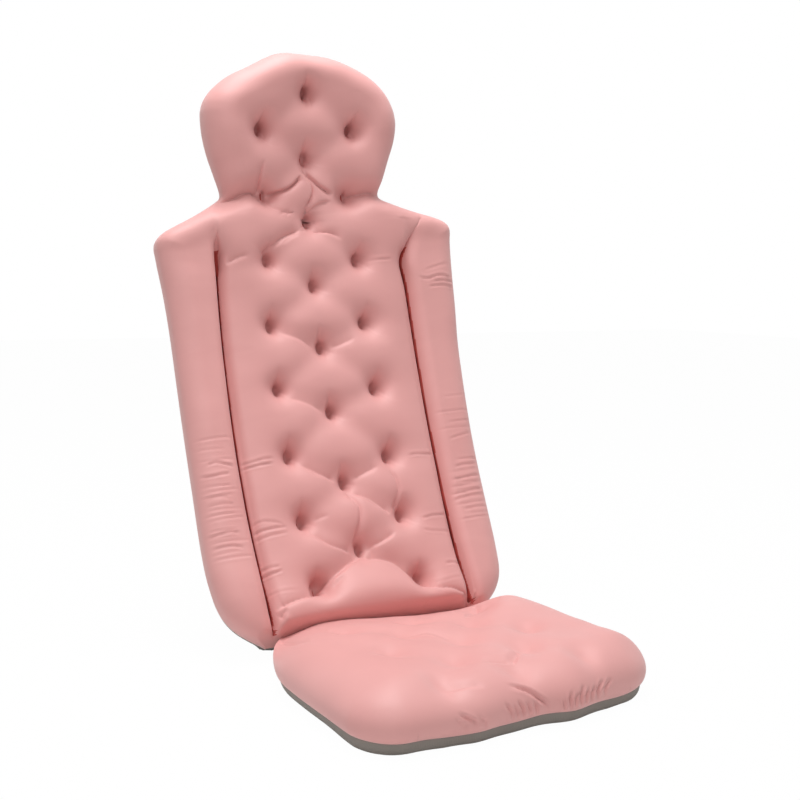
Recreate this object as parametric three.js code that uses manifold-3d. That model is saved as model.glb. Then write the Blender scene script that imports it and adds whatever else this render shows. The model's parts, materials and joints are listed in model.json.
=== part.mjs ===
// A full length bath pillow: a tufted head cushion, a back pad with two side bolsters and a seat pad,
// sewn in one line and folded where the back meets the seat. Millimetres, +Z up, the sitter faces -Y.
// Each pad is a stretch fabric front cover over a fibre filling, closed by a backing cover. Bar tacks
// pull the front cover down to the backing, and suction cups on the back hold the pad to a bath.
import * as THREE from 'three';
import Module from 'manifold-3d';
import { mergeVertices } from 'three/addons/utils/BufferGeometryUtils.js';

const wasm = await Module();
wasm.setup();

const degrees = Math.PI / 180;

// Cloth, seams and the clearances between sewn pieces
const cover_thickness = 1.6;
const clearance = 0.3;
const rim_gap = 0.4;
const backing_depth = 12;
const seam_pinch = 2;
const border_draw = 3;
const welt_radius = 1.5;

// How far the back leans from upright, at the waist, half way up and at the top of the head
const waist_lean = 37 * degrees;
const middle_lean = 17.4 * degrees;
const top_lean = 0;
const spine_steps = 24;

// Back pad
const back_length = 572;
const panel_half_width = 131;
const panel_crown = 36;
const panel_edge_radius = 50;
const panel_edge_slope = 1.6;
const panel_end_radius = 30;
const waist_end_radius = 16;
const lumbar_rise = 8;
const lumbar_height = 30;
const lumbar_spread = 42;
const neck_dip_share = 0.35;
const neck_dip_spread = 26;
const outer_half_width = 192;
const shoulder_half_width = 205;
const flare_length = 420;
const foot_radius = 60;
const shoulder_break = 97;
const shoulder_inner_drop = 22;
const shoulder_drop = 57;
const shoulder_length = 130;
const bolster_crown = 34;
const bolster_end_radius = 26;
const bolster_rear_depth = 25;
const heel_depth = 34;
const heel_height = 8;
const heel_spread = 62;
const rear_edge_radius = 16;
const heel_edge_radius = 9;

// Head pad
const head_neck_half_width = 109;
const head_half_width = 132;
const head_length = 160;
const head_corner_length = 90;
const head_top_half_width = 20;
const head_crown = 36;
const head_edge_radius = 32;
const head_neck_radius = 18;

// Seat pad
const seat_depth = 310;
const seat_half_width = 180;
const seat_crown = 46;
const seat_edge_radius = 50;
const seat_corner_radius = 52;
const seat_rear_radius = 120;
const seat_waist_share = 0.6;
const seat_rise_length = 95;
const seat_band_radius = 12;

// Bar tacks and the hollows that they pull
const tack_column = 65;
const first_tack_row = 52.5;
const neck_tack_drop = 18;
const back_tack_rows = 13;
const centre_lift = 8;
const neck_drift = 8;
const head_tack_x = 62;
const head_low_tack = 26;
const head_side_tack = 62;
const head_high_tack = 108;
const seat_tack_x = 42;
const seat_first_tack = 26;
const seat_last_tack = 92;
const seat_tack_rows = 5;
const tack_floor = -1.2;
const seat_tack_floor = 27;
const tack_length = 10;
const tack_width = 2.4;
const tack_thickness = 1.2;
const hollow_margin = 1;
const hollow_reach = 17;
const seat_hollow_reach = 13;
const hollow_power = 1.3;

// Suction cups and the sewn straps that hold them
const back_cup_x = 72;
const back_cup_drop = 142;
const head_cup_x = 62;
const head_cup_rise = 80;
const cup_radius = 22;
const cup_rim_width = 2;
const cup_height = 9;
const cup_dish = 3.4;
const cup_wall = 1.6;
const cup_top_radius = 7;
const cup_shoulder_radius = 13;
const neck_radius = 2.5;
const mushroom_radius = 6;
const mushroom_thickness = 2.2;
const strap_length = 46;
const strap_width = 20;
const strap_thickness = 1.2;
const strap_bridge = 20;
const strap_hole_radius = 3.2;
const cup_sides = 16;
const outline_steps = 96;
const rod_sides = 8;

const spine_length = back_length + head_length;
const shoulder_start = back_length - shoulder_length;
const flare_start = back_length - flare_length;
const head_corner_start = spine_length - head_corner_length;
const head_tack_rows = [head_low_tack, head_side_tack, head_high_tack].map((up) => back_length + up);
const back_cup = { x: back_cup_x, v: back_length - back_cup_drop };
const head_cup = { x: head_cup_x, v: back_length + head_cup_rise };
const tack_step = (back_length - neck_tack_drop - first_tack_row) / (back_tack_rows - 1);

// The fold between the seat and the back: both pads slope away from it at half the angle between them
const fold_share = Math.tan((Math.PI / 2 - waist_lean) / 2);
const fold_fade = 60;
const hinge_height = backing_depth;
const end_gap = welt_radius + clearance;
const seat_end = -end_gap;

// Shares of a rounded edge where its rows and columns lie, and of the bolster's arch
const edge_shares = [0, 0.134, 0.5, 1];
const neck_shares = [0, 0.17, 0.56];
const arch_shares = [0, 1 / 6, 2 / 6, 3 / 6, 4 / 6, 5 / 6, 1];
const rear_arch_shares = [0.25, 0.5, 0.75, 1];

const pink = { color: 0xe3a19b, roughness: 0.62, metalness: 0 };
const deep_pink = { color: 0xd98f8a, roughness: 0.7, metalness: 0 };
const grey = { color: 0x8c8780, roughness: 0.85, metalness: 0 };
const fibre = { color: 0xf3f1ec, roughness: 0.95, metalness: 0 };
const thread = { color: 0xc4736f, roughness: 0.6, metalness: 0 };
const clear_vinyl = { color: 0xdfe6e8, roughness: 0.15, metalness: 0 };

const clamp = THREE.MathUtils.clamp;
const lerp = THREE.MathUtils.lerp;
const round = (share) => Math.sqrt(1 - (1 - clamp(share, 0, 1)) ** 2);
const smoothstep = (share) => THREE.MathUtils.smoothstep(share, 0, 1);
const bell = (distance, spread) => Math.exp(-((distance / spread) ** 2));
const mirrored = (halves) => [...halves.slice(1).map((half) => -half).reverse(), ...halves];

// The lean at a distance from the waist: a parabola through the three leans
function leanAt(v) {
  const share = v / spine_length;
  const bend = 2 * (waist_lean - 2 * middle_lean + top_lean);
  return waist_lean + share * (top_lean - waist_lean - bend) + share * share * bend;
}

// A point of the back or head: x across, v up the pad from the waist and h out of its front
function backPlace({ x, y: v, z: h }) {
  const step = v / spine_steps;
  let y = 0;
  let z = hinge_height;
  for (let i = 0; i < spine_steps; i += 1) {
    const lean = leanAt(step * (i + 1 / 2));
    y += step * Math.sin(lean);
    z += step * Math.cos(lean);
  }
  const lean = leanAt(v);
  return new THREE.Vector3(x, y - h * Math.cos(lean), z + h * Math.sin(lean));
}

// A point of the seat: v runs back to the waist, where it is zero
const seatPlace = ({ x, y: v, z: h }) => new THREE.Vector3(x, v, hinge_height + h);

// A sheet is a net of points, each across, along and out of the pad, with a ring round each bar tack
function sheet(columns, rows, at, tacks = []) {
  const points = rows.map((row) => columns.map((column) => at(column, row)));
  const rings = tacks.map(({ column, row }) => {
    const i = columns.indexOf(column);
    const j = rows.indexOf(row);
    const centre = points[j][i];
    const ring = ringSteps.map(
      ([across, along]) =>
        new THREE.Vector3(
          centre.x + across * (tack_width / 2 + hollow_margin),
          centre.y + along * (tack_length / 2 + hollow_margin),
          centre.z,
        ),
    );
    return { i, j, ring };
  });
  return { points, rings };
}

const ringSteps = [
  [-1, -1],
  [0, -1],
  [1, -1],
  [1, 0],
  [1, 1],
  [0, 1],
  [-1, 1],
  [-1, 0],
];

// The triangles of a sheet, facing out of the pad's front; turn keeps a trimmed sheet's diagonals in place
function facets({ points, rings, turn = 0 }) {
  const found = [];
  const held = new Set(rings.flatMap(({ i, j }) => [
    `${i},${j}`, `${i - 1},${j}`, `${i},${j - 1}`, `${i - 1},${j - 1}`,
  ]));
  for (let j = 0; j + 1 < points.length; j += 1) {
    for (let i = 0; i + 1 < points[j].length; i += 1) {
      if (held.has(`${i},${j}`)) continue;
      const [a, b] = [points[j][i], points[j][i + 1]];
      const [c, d] = [points[j + 1][i + 1], points[j + 1][i]];
      if ((i + j + turn) % 2) found.push([a, b, c], [a, c, d]);
      else found.push([a, b, d], [b, c, d]);
    }
  }
  for (const { i, j, ring } of rings) {
    ringSteps.forEach(([across, along], k) => {
      const next = (k + 1) % ring.length;
      const [nextAcross, nextAlong] = ringSteps[next];
      const outer = points[j + along][i + across];
      const outerNext = points[j + nextAlong][i + nextAcross];
      found.push([outer, outerNext, ring[next]], [outer, ring[next], ring[k]]);
      if (k > 0 && next > 0) found.push([ring[0], ring[k], ring[next]]);
    });
  }
  return found;
}

const borderOf = (points) => new Set([
  ...points[0],
  ...points.at(-1),
  ...points.map((row) => row[0]),
  ...points.map((row) => row.at(-1)),
]);

// The same sheet moved out of the pad's front by a distance; its border only moves sideways
function offset(from, distance) {
  const normals = new Map();
  for (const corners of facets(from)) {
    const normal = new THREE.Triangle(...corners).getNormal(new THREE.Vector3());
    const area = new THREE.Triangle(...corners).getArea();
    for (const point of corners) {
      if (!normals.has(point)) normals.set(point, new THREE.Vector3());
      normals.get(point).addScaledVector(normal, area);
    }
  }
  const border = borderOf(from.points);
  const moved = (point) => {
    const normal = normals.get(point);
    if (!normal) return point.clone();
    if (border.has(point)) normal.z = 0;
    return point.clone().addScaledVector(normal.clone().normalize(), distance);
  };
  return {
    points: from.points.map((row) => row.map(moved)),
    rings: from.rings.map(({ i, j, ring }) => ({ i, j, ring: ring.map(moved) })),
    turn: from.turn,
  };
}

// A skin's inside without its outermost rows and columns; its new border lies a little deeper
function core(skin, distance, trim = 1) {
  const [shallow, deep] = [offset(skin, distance), offset(skin, distance + Math.sign(distance) * border_draw)];
  const kept = (points) => points.slice(trim, -trim).map((row) => row.slice(trim, -trim));
  const deeper = kept(deep.points);
  const points = kept(shallow.points).map((row, j, rows) => row.map((point, i) => {
    const border = j === 0 || i === 0 || j === rows.length - 1 || i === row.length - 1;
    return border ? deeper[j][i] : point;
  }));
  const rings = shallow.rings.map(({ i, j, ring }) => ({ i: i - trim, j: j - trim, ring }));
  return { points, rings, turn: skin.turn };
}

// The part of a sheet between two columns, and from a row to the last but one
function part({ points }, firstColumn, lastColumn, firstRow) {
  return {
    points: points.slice(firstRow, -1).map((row) => row.slice(firstColumn, lastColumn + 1)),
    rings: [],
    turn: firstColumn + firstRow,
  };
}

// The sheet in the part's own frame, nowhere lower than a floor
function placed({ points, rings, turn }, place, floor = -Infinity) {
  const put = (point) => {
    const at = place(point);
    at.z = Math.max(at.z, floor);
    return at;
  };
  return {
    points: points.map((row) => row.map(put)),
    rings: rings.map(({ i, j, ring }) => ({ i, j, ring: ring.map(put) })),
    turn,
  };
}

// The wall between two edges that run the same way, with the pad on their left
function wall(upper, lower) {
  const shares = (line) => {
    const steps = line.map((point, k) => (k ? point.distanceTo(line[k - 1]) : 0));
    const whole = steps.reduce((sum, step) => sum + step, 0);
    let run = 0;
    return steps.map((step) => (run += step) / whole);
  };
  const [up, low] = [shares(upper), shares(lower)];
  const found = [];
  let [k, m] = [0, 0];
  while (k + 1 < upper.length || m + 1 < lower.length) {
    if (m + 1 === lower.length || (k + 1 < upper.length && up[k + 1] <= low[m + 1])) {
      found.push([upper[k], lower[m], upper[k + 1]]);
      k += 1;
    } else {
      found.push([upper[k], lower[m], lower[m + 1]]);
      m += 1;
    }
  }
  return found;
}

// One closed body between a front sheet and a rear sheet
function body(front, rear) {
  const edges = ({ points }) => [
    points[0],
    points.map((row) => row.at(-1)),
    [...points.at(-1)].reverse(),
    points.map((row) => row[0]).reverse(),
  ];
  const lower = edges(rear);
  const all = [
    ...facets(front),
    ...facets(rear).map(([a, b, c]) => [a, c, b]),
    ...edges(front).flatMap((edge, side) => wall(edge, lower[side])),
  ];
  const geometry = new THREE.BufferGeometry();
  const numbers = all.flat().flatMap(({ x, y, z }) => [x, y, z]);
  geometry.setAttribute('position', new THREE.Float32BufferAttribute(numbers, 3));
  const closed = mergeVertices(geometry);
  closed.computeVertexNormals();
  return closed;
}

// A cover is a sheet with its own copy a cloth's thickness below
const cloth = (skin, place) => body(placed(skin, place), placed(offset(skin, -cover_thickness), place));

function mesh(name, geometry, look) {
  const made = new THREE.Mesh(geometry, new THREE.MeshStandardMaterial(look));
  made.name = name;
  return made;
}

// How much of the crown is left beside the tacks
function hollows(x, v, places, reach) {
  const left = places.map(([tackX, tackV]) => {
    const distance = Math.hypot(x - tackX, v - tackV);
    return 1 - Math.exp(-((distance / reach) ** hollow_power));
  });
  return left.reduce((product, share) => product * share, 1);
}

// Back pad: columns run from -2 to 2, with the panel between -1 and 1 and a bolster outside each
const outerHalfWidth = (v) => {
  const foot = lerp(panel_half_width, outer_half_width, round(v / foot_radius));
  const flare = Math.max(v - flare_start, 0) / flare_length;
  return foot + flare * flare * (shoulder_half_width - outer_half_width);
};

function shoulderDrop(x) {
  const inner = clamp((Math.abs(x) - shoulder_break) / (panel_half_width - shoulder_break), 0, 1);
  const run = shoulder_half_width - panel_half_width;
  const outer = Math.max(Math.abs(x) - panel_half_width, 0) / run;
  return inner * shoulder_inner_drop + outer * (shoulder_drop - shoulder_inner_drop);
}

function backAcross(column, row) {
  const side = Math.sign(column);
  const share = Math.abs(column);
  const rise = clamp((row - shoulder_start) / shoulder_length, 0, 1);
  if (share <= 1) return column * panel_half_width - side * neck_drift * rise * Math.sin(Math.PI * share);
  const arch = (1 - Math.cos(Math.PI * (share - 1))) / 2;
  return side * lerp(panel_half_width, outerHalfWidth(row), arch);
}

function backAlong(x, row) {
  const rise = clamp((row - shoulder_start) / shoulder_length, 0, 1);
  const climb = Math.max(row - first_tack_row - tack_step, 0) / (back_length - first_tack_row - tack_step);
  const middle = Math.max(1 - Math.abs(x) / tack_column, 0);
  return row - rise * shoulderDrop(x) + centre_lift * middle * Math.sin(Math.PI * Math.min(climb, 1));
}

const foldedBack = (v, h) => v + fold_share * Math.max(h, 0) * clamp(1 - v / fold_fade, 0, 1);
const back_end = back_length - end_gap;
const quarter_step = tack_step / 2;
const tackRow = (k) => first_tack_row + tack_step * k;
const edgeRows = (start, radius) => edge_shares.map((share) => start + radius * share);

const panel_rows = [
  ...edgeRows(end_gap, waist_end_radius),
  ...Array.from({ length: 2 * back_tack_rows - 1 }, (_, k) => first_tack_row + quarter_step * k),
  lerp(tackRow(back_tack_rows - 1), back_end, 4 / 5),
  back_end,
];
const tack_share = tack_column / panel_half_width;
const panel_columns = mirrored([
  0,
  tack_share / 2,
  tack_share,
  ...edge_shares.map((share) => 1 - (share * panel_edge_radius) / panel_half_width).reverse(),
]);

// The tacks stand in a centre column and two side columns, staggered by half a pitch
const panel_tacks = Array.from({ length: back_tack_rows }, (_, k) => k).flatMap((k) => {
  const row = panel_rows[edge_shares.length + 2 * k];
  const columns = k % 2 ? [0] : [-tack_share, tack_share];
  return columns.map((column) => ({ column, row, k }));
});
const panelTackPlaces = panel_tacks.map(({ column, row }) => {
  const x = backAcross(column, row);
  return [x, backAlong(x, row)];
});

function panelFront(column, row) {
  const x = backAcross(column, row);
  const v = backAlong(x, row);
  const side = round(((1 - Math.abs(column)) * panel_half_width) / panel_edge_radius) ** panel_edge_slope;
  const ends = round((row - end_gap) / waist_end_radius) * round((back_end - row) / panel_end_radius);
  const gathered = 1 - neck_dip_share * bell(back_end - row, neck_dip_spread);
  const crown = panel_crown * gathered + lumbar_rise * bell(row - lumbar_height, lumbar_spread);
  const tufted = hollows(x, v, panelTackPlaces, hollow_reach);
  const isTack = panel_tacks.some((tack) => tack.column === column && tack.row === row);
  const h = isTack ? tack_floor : rim_gap / 2 + crown * side * ends * tufted;
  const gap = Math.abs(column) === 1 ? (Math.sign(column) * rim_gap) / 2 : 0;
  return new THREE.Vector3(x - gap, foldedBack(v, h), h);
}

function bolsterFront(column, row) {
  const arch = Math.sin(Math.PI * (Math.abs(column) - 1));
  const ends = round((row - end_gap) / bolster_end_radius) * round((back_end - row) / bolster_end_radius);
  const gap = Math.abs(column) === 1 ? (Math.sign(column) * rim_gap) / 2 : 0;
  const x = backAcross(column, row) + gap;
  const h = rim_gap / 2 + bolster_crown * arch * ends;
  return new THREE.Vector3(x, foldedBack(backAlong(x, row), h), h);
}

const bolster_rows = [
  ...edgeRows(end_gap, panel_end_radius),
  ...Array.from({ length: back_tack_rows }, (_, k) => tackRow(k)),
  back_end,
];

// The rear is flat behind the panel, round behind the bolsters and bulges to the floor at the waist
function rearDepth(column, row) {
  const share = Math.abs(column);
  const heel = heel_depth * bell(Math.max(row - heel_height, 0), heel_spread);
  const top = round((back_end - row) / rear_edge_radius);
  const foot = round((row - end_gap) / heel_edge_radius);
  if (row === end_gap || row === back_end || share === 2) return 0;
  if (share > 1) {
    const arch = Math.sin(Math.PI * (share - 1));
    return seam_pinch + top * foot * (bolster_rear_depth + heel / 3) * arch;
  }
  const side = round(((1 - share) * panel_half_width) / rear_edge_radius);
  return seam_pinch + top * foot * (backing_depth - seam_pinch + heel) * side;
}

function backRear(column, row) {
  const x = backAcross(column, row);
  const h = -rim_gap / 2 - rearDepth(column, row);
  return new THREE.Vector3(x, backAlong(x, row), h);
}

const rear_columns = mirrored([
  0,
  tack_share,
  1 - rear_edge_radius / panel_half_width,
  1,
  ...rear_arch_shares.map((share) => 1 + share),
]);
const rear_rows = [
  ...edgeRows(end_gap, heel_edge_radius),
  end_gap + panel_end_radius,
  ...Array.from({ length: back_tack_rows - 1 }, (_, k) => tackRow(k)),
  ...[1, ...edge_shares.toReversed()].slice(1).map((share) => back_end - share * rear_edge_radius),
];

const inner = cover_thickness + clearance;
const rear_skin = sheet(rear_columns, rear_rows, backRear);
const rear_inside = offset(rear_skin, inner);
const rearPart = (first, last, firstRow = 1) => {
  const inside = (share) => share >= first && share <= last;
  return part(rear_inside, rear_columns.findIndex(inside), rear_columns.findLastIndex(inside), firstRow);
};

function backPad() {
  const panel = sheet(panel_columns, panel_rows, panelFront, panel_tacks);
  const inset = 1 - rear_edge_radius / panel_half_width;
  const panelFilling = body(
    placed(core(panel, -inner), backPlace, inner),
    placed(rearPart(-inset, inset), backPlace, inner),
  );
  const meshes = [
    mesh('back_panel_cover', cloth(panel, backPlace), pink),
    mesh('back_panel_filling', panelFilling, fibre),
    mesh('back_backing', body(
      placed(offset(rear_skin, cover_thickness), backPlace, cover_thickness),
      placed(rear_skin, backPlace, 0),
    ), grey),
  ];
  for (const [name, side] of [['left', -1], ['right', 1]]) {
    const columns = arch_shares.map((share) => side * (1 + share)).sort((a, b) => a - b);
    const skin = sheet(columns, bolster_rows, bolsterFront);
    const stuffed = { ...sheet(columns, bolster_rows.slice(1), bolsterFront), turn: 1 };
    const [first, last] = [side * 1.25, side * 1.75].sort((a, b) => a - b);
    meshes.push(
      mesh(`${name}_bolster_cover`, cloth(skin, backPlace), deep_pink),
      mesh(`${name}_bolster_filling`, body(
        placed(core(stuffed, -inner), backPlace, inner),
        placed(rearPart(first, last, edge_shares.length - 1), backPlace, inner),
      ), fibre),
    );
  }
  return meshes;
}

// Seat and head: columns are shares of the half width at each row
function seatHalfWidth(v) {
  const front = round((v + seat_depth) / seat_corner_radius);
  const rear = round((seat_end - v) / seat_rear_radius);
  return seat_half_width - seat_corner_radius * (1 - front)
    - (seat_half_width - panel_half_width) * (1 - rear);
}

function headHalfWidth(v) {
  if (v > head_corner_start) {
    const share = (v - head_corner_start) / (spine_length - head_corner_start);
    return lerp(head_top_half_width, head_half_width, Math.sqrt(Math.max(1 - share * share, 0)));
  }
  const share = (v - back_length) / (head_corner_start - back_length);
  return lerp(head_neck_half_width, head_half_width, Math.sin((share * Math.PI) / 2));
}

function outlineOf(halfWidth, start, end) {
  const found = [];
  for (let k = 0; k <= outline_steps; k += 1) {
    const v = lerp(start, end, k / outline_steps);
    found.push([-halfWidth(v), v], [halfWidth(v), v]);
    const across = lerp(-1, 1, k / outline_steps);
    found.push([across * halfWidth(start), start], [across * halfWidth(end), end]);
  }
  return found;
}

const nearest = (outline, x, v) => Math.min(...outline.map(([a, b]) => Math.hypot(x - a, v - b)));

// A pad that narrows at its corners; its height follows the distance to its outline
function pad({ name, columns, rows, halfWidth, front, rimRadius, tacks, place, middleRows }) {
  const [first, second] = rows;
  const [beforeLast, last] = rows.slice(-2);
  const side = columns.at(-2);
  const half = halfWidth((first + last) / 2);
  const rearColumns = mirrored([0, 1 / 2, 1 - rimRadius / half, side, 1 - (1 - side) / 3, 1]);
  const rearRows = [
    first,
    lerp(first, second, 1 / 3),
    second,
    first + rimRadius,
    ...middleRows,
    last - rimRadius,
    beforeLast,
    lerp(last, beforeLast, 1 / 3),
    last,
  ];
  const outline = outlineOf(halfWidth, first, last);
  const at = (height, sign) => (column, row) => {
    const border = Math.abs(column) === 1 || row === first || row === last;
    const x = column * halfWidth(row);
    const rim = (sign * rim_gap) / 2;
    return height(x, row, border ? 0 : nearest(outline, x, row), rim, column);
  };
  const skin = sheet(columns, rows, at(front, 1), tacks);
  const under = sheet(rearColumns, rearRows, at(flatRear(rimRadius), -1));
  const underCore = core(under, inner, 2);
  return [
    mesh(`${name}_front_cover`, cloth(skin, place), pink),
    mesh(`${name}_filling`, body(placed(core(skin, -inner), place), placed(underCore, place, inner)), fibre),
    mesh(`${name}_backing`, body(
      placed(offset(under, cover_thickness), place, cover_thickness),
      placed(under, place, 0),
    ), grey),
  ];
}

const flatRear = (radius) => (x, v, distance, rim) => {
  const depth = distance && lerp(seam_pinch, backing_depth + rim, round(distance / radius));
  return new THREE.Vector3(x, v, rim - depth);
};

// Seat pad: the tacks stand in rows of three and two, counted from the front edge
const outer_tack_share = (2 * seat_tack_x) / seat_half_width;
const seat_columns = mirrored([
  0,
  seat_tack_x / seat_half_width,
  outer_tack_share,
  (outer_tack_share + 1 - seat_edge_radius / seat_half_width) / 2,
  ...edge_shares.toReversed().map((share) => 1 - (share * seat_edge_radius) / seat_half_width),
]);
const seat_tack_step = (seat_depth - seat_first_tack - seat_last_tack) / (seat_tack_rows - 1);
const seatTackRow = (k) => -seat_depth + seat_first_tack + seat_tack_step * k;
const seat_rows = [
  -seat_depth,
  lerp(-seat_depth, seatTackRow(0), 0.2),
  lerp(-seat_depth, seatTackRow(0), 0.55),
  ...Array.from({ length: 2 * seat_tack_rows - 1 }, (_, k) => seatTackRow(k / 2)),
  lerp(seatTackRow(seat_tack_rows - 1), seat_end - waist_end_radius, 1 / 3),
  lerp(seatTackRow(seat_tack_rows - 1), seat_end - waist_end_radius, 2 / 3),
  ...[1, 0.6, 0.25, 0].map((share) => seat_end - share * waist_end_radius),
];
const seat_tacks = Array.from({ length: seat_tack_rows }, (_, k) => k).flatMap((k) => {
  const steps = k % 2 ? [-1, 1] : [-2, 0, 2];
  return steps.map((step) => ({ column: (step * seat_tack_x) / seat_half_width, row: seatTackRow(k) }));
});
const seatTackPlaces = seat_tacks.map(({ column, row }) => [column * seatHalfWidth(row), row]);

const isTack = (tacks, column, row) => tacks.some((tack) => tack.column === column && tack.row === row);

function seatFront(x, v, distance, rim, column) {
  const rise = lerp(seat_waist_share, 1, smoothstep((seat_end - v) / seat_rise_length));
  const ends = round(distance / seat_edge_radius) * round((seat_end - v) / waist_end_radius);
  const crown = seat_crown * rise * ends;
  const floor = seat_tack_floor / seat_crown;
  const tufted = lerp(floor, 1, hollows(x, v, seatTackPlaces, seat_hollow_reach));
  const h = isTack(seat_tacks, column, v) ? seat_tack_floor : rim + crown * tufted;
  const back = fold_share * h * clamp(1 + v / fold_fade, 0, 1);
  return new THREE.Vector3(x, v - back, h);
}

function seatPad() {
  return pad({
    name: 'seat',
    columns: seat_columns,
    rows: seat_rows,
    halfWidth: seatHalfWidth,
    front: seatFront,
    rimRadius: seat_band_radius,
    tacks: seat_tacks,
    place: seatPlace,
    middleRows: [seat_corner_radius - seat_depth, -seat_depth / 2, seat_end - foot_radius],
  });
}

// Head pad
const head_start = back_length + end_gap;
const head_columns = mirrored([
  0,
  head_tack_x / head_half_width / 2,
  head_tack_x / head_half_width,
  ...edge_shares.toReversed().map((share) => 1 - (share * head_edge_radius) / head_half_width),
]);
const head_rows = [
  ...neck_shares.map((share) => head_start + share * head_neck_radius),
  head_tack_rows[0],
  (head_tack_rows[0] + head_tack_rows[1]) / 2,
  head_tack_rows[1],
  (head_tack_rows[1] + head_tack_rows[2]) / 2,
  head_tack_rows[2],
  ...[1, 0.62, 0.3, 0].map((share) => spine_length - share * head_edge_radius),
];
const head_tacks = [
  { column: 0, row: head_tack_rows[0] },
  { column: -head_tack_x / head_half_width, row: head_tack_rows[1] },
  { column: head_tack_x / head_half_width, row: head_tack_rows[1] },
  { column: 0, row: head_tack_rows[2] },
];
const headTackPlaces = head_tacks.map(({ column, row }) => [column * headHalfWidth(row), row]);

function headFront(x, v, distance, rim, column) {
  const crown = head_crown * round(distance / head_edge_radius) * round((v - head_start) / head_neck_radius);
  const tufted = hollows(x, v, headTackPlaces, hollow_reach);
  return new THREE.Vector3(x, v, isTack(head_tacks, column, v) ? tack_floor : rim + crown * tufted);
}

function headPad() {
  return pad({
    name: 'head',
    columns: head_columns,
    rows: head_rows,
    halfWidth: headHalfWidth,
    front: headFront,
    rimRadius: rear_edge_radius,
    tacks: head_tacks,
    place: backPlace,
    middleRows: head_tack_rows,
  });
}

// A bar tack of thread, lying on the floor of its hollow
function tack(name, x, v, floor, place) {
  const shares = [-1, -0.8, 0.8, 1];
  const at = (top) => (column, row) => {
    const edge = Math.abs(column) === 1 || Math.abs(row) === 1;
    const h = floor + clearance + (top && !edge ? tack_thickness : top * (tack_thickness / 2));
    return new THREE.Vector3(x + (column * tack_width) / 2, v + (row * tack_length) / 2, h);
  };
  return mesh(name, body(
    placed(sheet(shares, shares, at(1)), place),
    placed(sheet([-1, 1], [-1, 1], at(0)), place),
  ), thread);
}

function solid(geometry) {
  const bare = geometry.clone().deleteAttribute('normal').deleteAttribute('uv');
  const merged = mergeVertices(bare);
  return new wasm.Manifold(new wasm.Mesh({
    numProp: 3,
    vertProperties: merged.getAttribute('position').array,
    triVerts: new Uint32Array(merged.index.array),
  }));
}

function cut(geometry, tool) {
  const { vertProperties, triVerts } = solid(geometry).subtract(solid(tool)).getMesh();
  const left = new THREE.BufferGeometry();
  left.setAttribute('position', new THREE.BufferAttribute(vertProperties, 3));
  left.setIndex(new THREE.BufferAttribute(triVerts, 1));
  left.computeVertexNormals();
  return left;
}

// Depths behind the seam of a suction cup's parts, from its button outwards
const button_near = backing_depth + rim_gap / 2 + clearance;
const button_far = button_near + mushroom_thickness;
const strap_far = button_far + clearance + strap_thickness;
const cup_near = strap_far + clearance;
const cup_rim = cup_near + cup_height;

// Stands a body made along +Z on the rear of the pad, pointing away from it
function onRear(geometry, { x, v }) {
  const lean = leanAt(v);
  const rearward = new THREE.Vector3(0, Math.cos(lean), -Math.sin(lean));
  const turn = new THREE.Quaternion().setFromUnitVectors(new THREE.Vector3(0, 0, 1), rearward);
  const foot = backPlace(new THREE.Vector3(x, v, 0));
  return geometry.applyQuaternion(turn).translate(foot.x, foot.y, foot.z);
}

// A suction cup is one moulding: the button behind the strap, the neck and the cup
function suctionCup(name, at) {
  const profile = [
    [0, button_near],
    [mushroom_radius, button_near],
    [mushroom_radius, button_far],
    [neck_radius, button_far],
    [neck_radius, cup_near],
    [cup_top_radius, cup_near],
    [cup_shoulder_radius, lerp(cup_near, cup_rim, 1 / 3)],
    [cup_radius, cup_rim - cup_wall],
    [cup_radius, cup_rim],
    [cup_radius - cup_rim_width, cup_rim],
    [cup_radius / 2, cup_rim - cup_dish],
    [0, cup_rim - cup_dish],
  ].map(([radius, depth]) => new THREE.Vector2(radius, depth));
  const geometry = new THREE.LatheGeometry(profile, cup_sides).rotateX(Math.PI / 2);
  return mesh(name, onRear(geometry, at), clear_vinyl);
}

// The strap is sewn down at both ends and bridges the button, with a hole for the neck
function cupStrap(name, at) {
  const bridge = strap_bridge / strap_length;
  const columns = mirrored([0, bridge, lerp(bridge, 1, 1 / 2), 1]);
  const sheetAt = (near) => sheet(columns, [-1, 1], (column, row) => {
    const lift = Math.abs(column) <= bridge ? button_far - button_near + clearance : 0;
    const depth = button_near + lift + (near ? 0 : strap_thickness);
    return new THREE.Vector3(at.x + (column * strap_length) / 2, at.v + (row * strap_width) / 2, -depth);
  });
  const strap = body(placed(sheetAt(true), backPlace), placed(sheetAt(false), backPlace));
  const hole = new THREE.CylinderGeometry(strap_hole_radius, strap_hole_radius, 2 * cup_rim, cup_sides);
  return mesh(name, cut(strap, onRear(hole.rotateX(Math.PI / 2), at)), pink);
}

const cups = [
  ['back', back_cup],
  ['head', head_cup],
].flatMap(([pad_name, { x, v }]) => [['left', -x], ['right', x]].flatMap(([side, across]) => [
  suctionCup(`${pad_name}_${side}_cup`, { x: across, v }),
  cupStrap(`${pad_name}_${side}_strap`, { x: across, v }),
]));

function rod(name, length, at) {
  const geometry = new THREE.CylinderGeometry(welt_radius, welt_radius, length, rod_sides);
  geometry.rotateZ(Math.PI / 2).translate(at.x, at.y, at.z);
  return mesh(name, geometry, grey);
}

const waist = backPlace(new THREE.Vector3(0, 0, 0));
const neck = backPlace(new THREE.Vector3(0, back_length, 0));
const tackMeshes = [
  ...seat_tacks.map((tackAt, k) => tack(`seat_tack_${k + 1}`, ...seatTackPlaces[k], seat_tack_floor, seatPlace)),
  ...panelTackPlaces.map(([x, v], k) => tack(`back_tack_${k + 1}`, x, v, tack_floor, backPlace)),
  ...headTackPlaces.map(([x, v], k) => tack(`head_tack_${k + 1}`, x, v, tack_floor, backPlace)),
];

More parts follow.
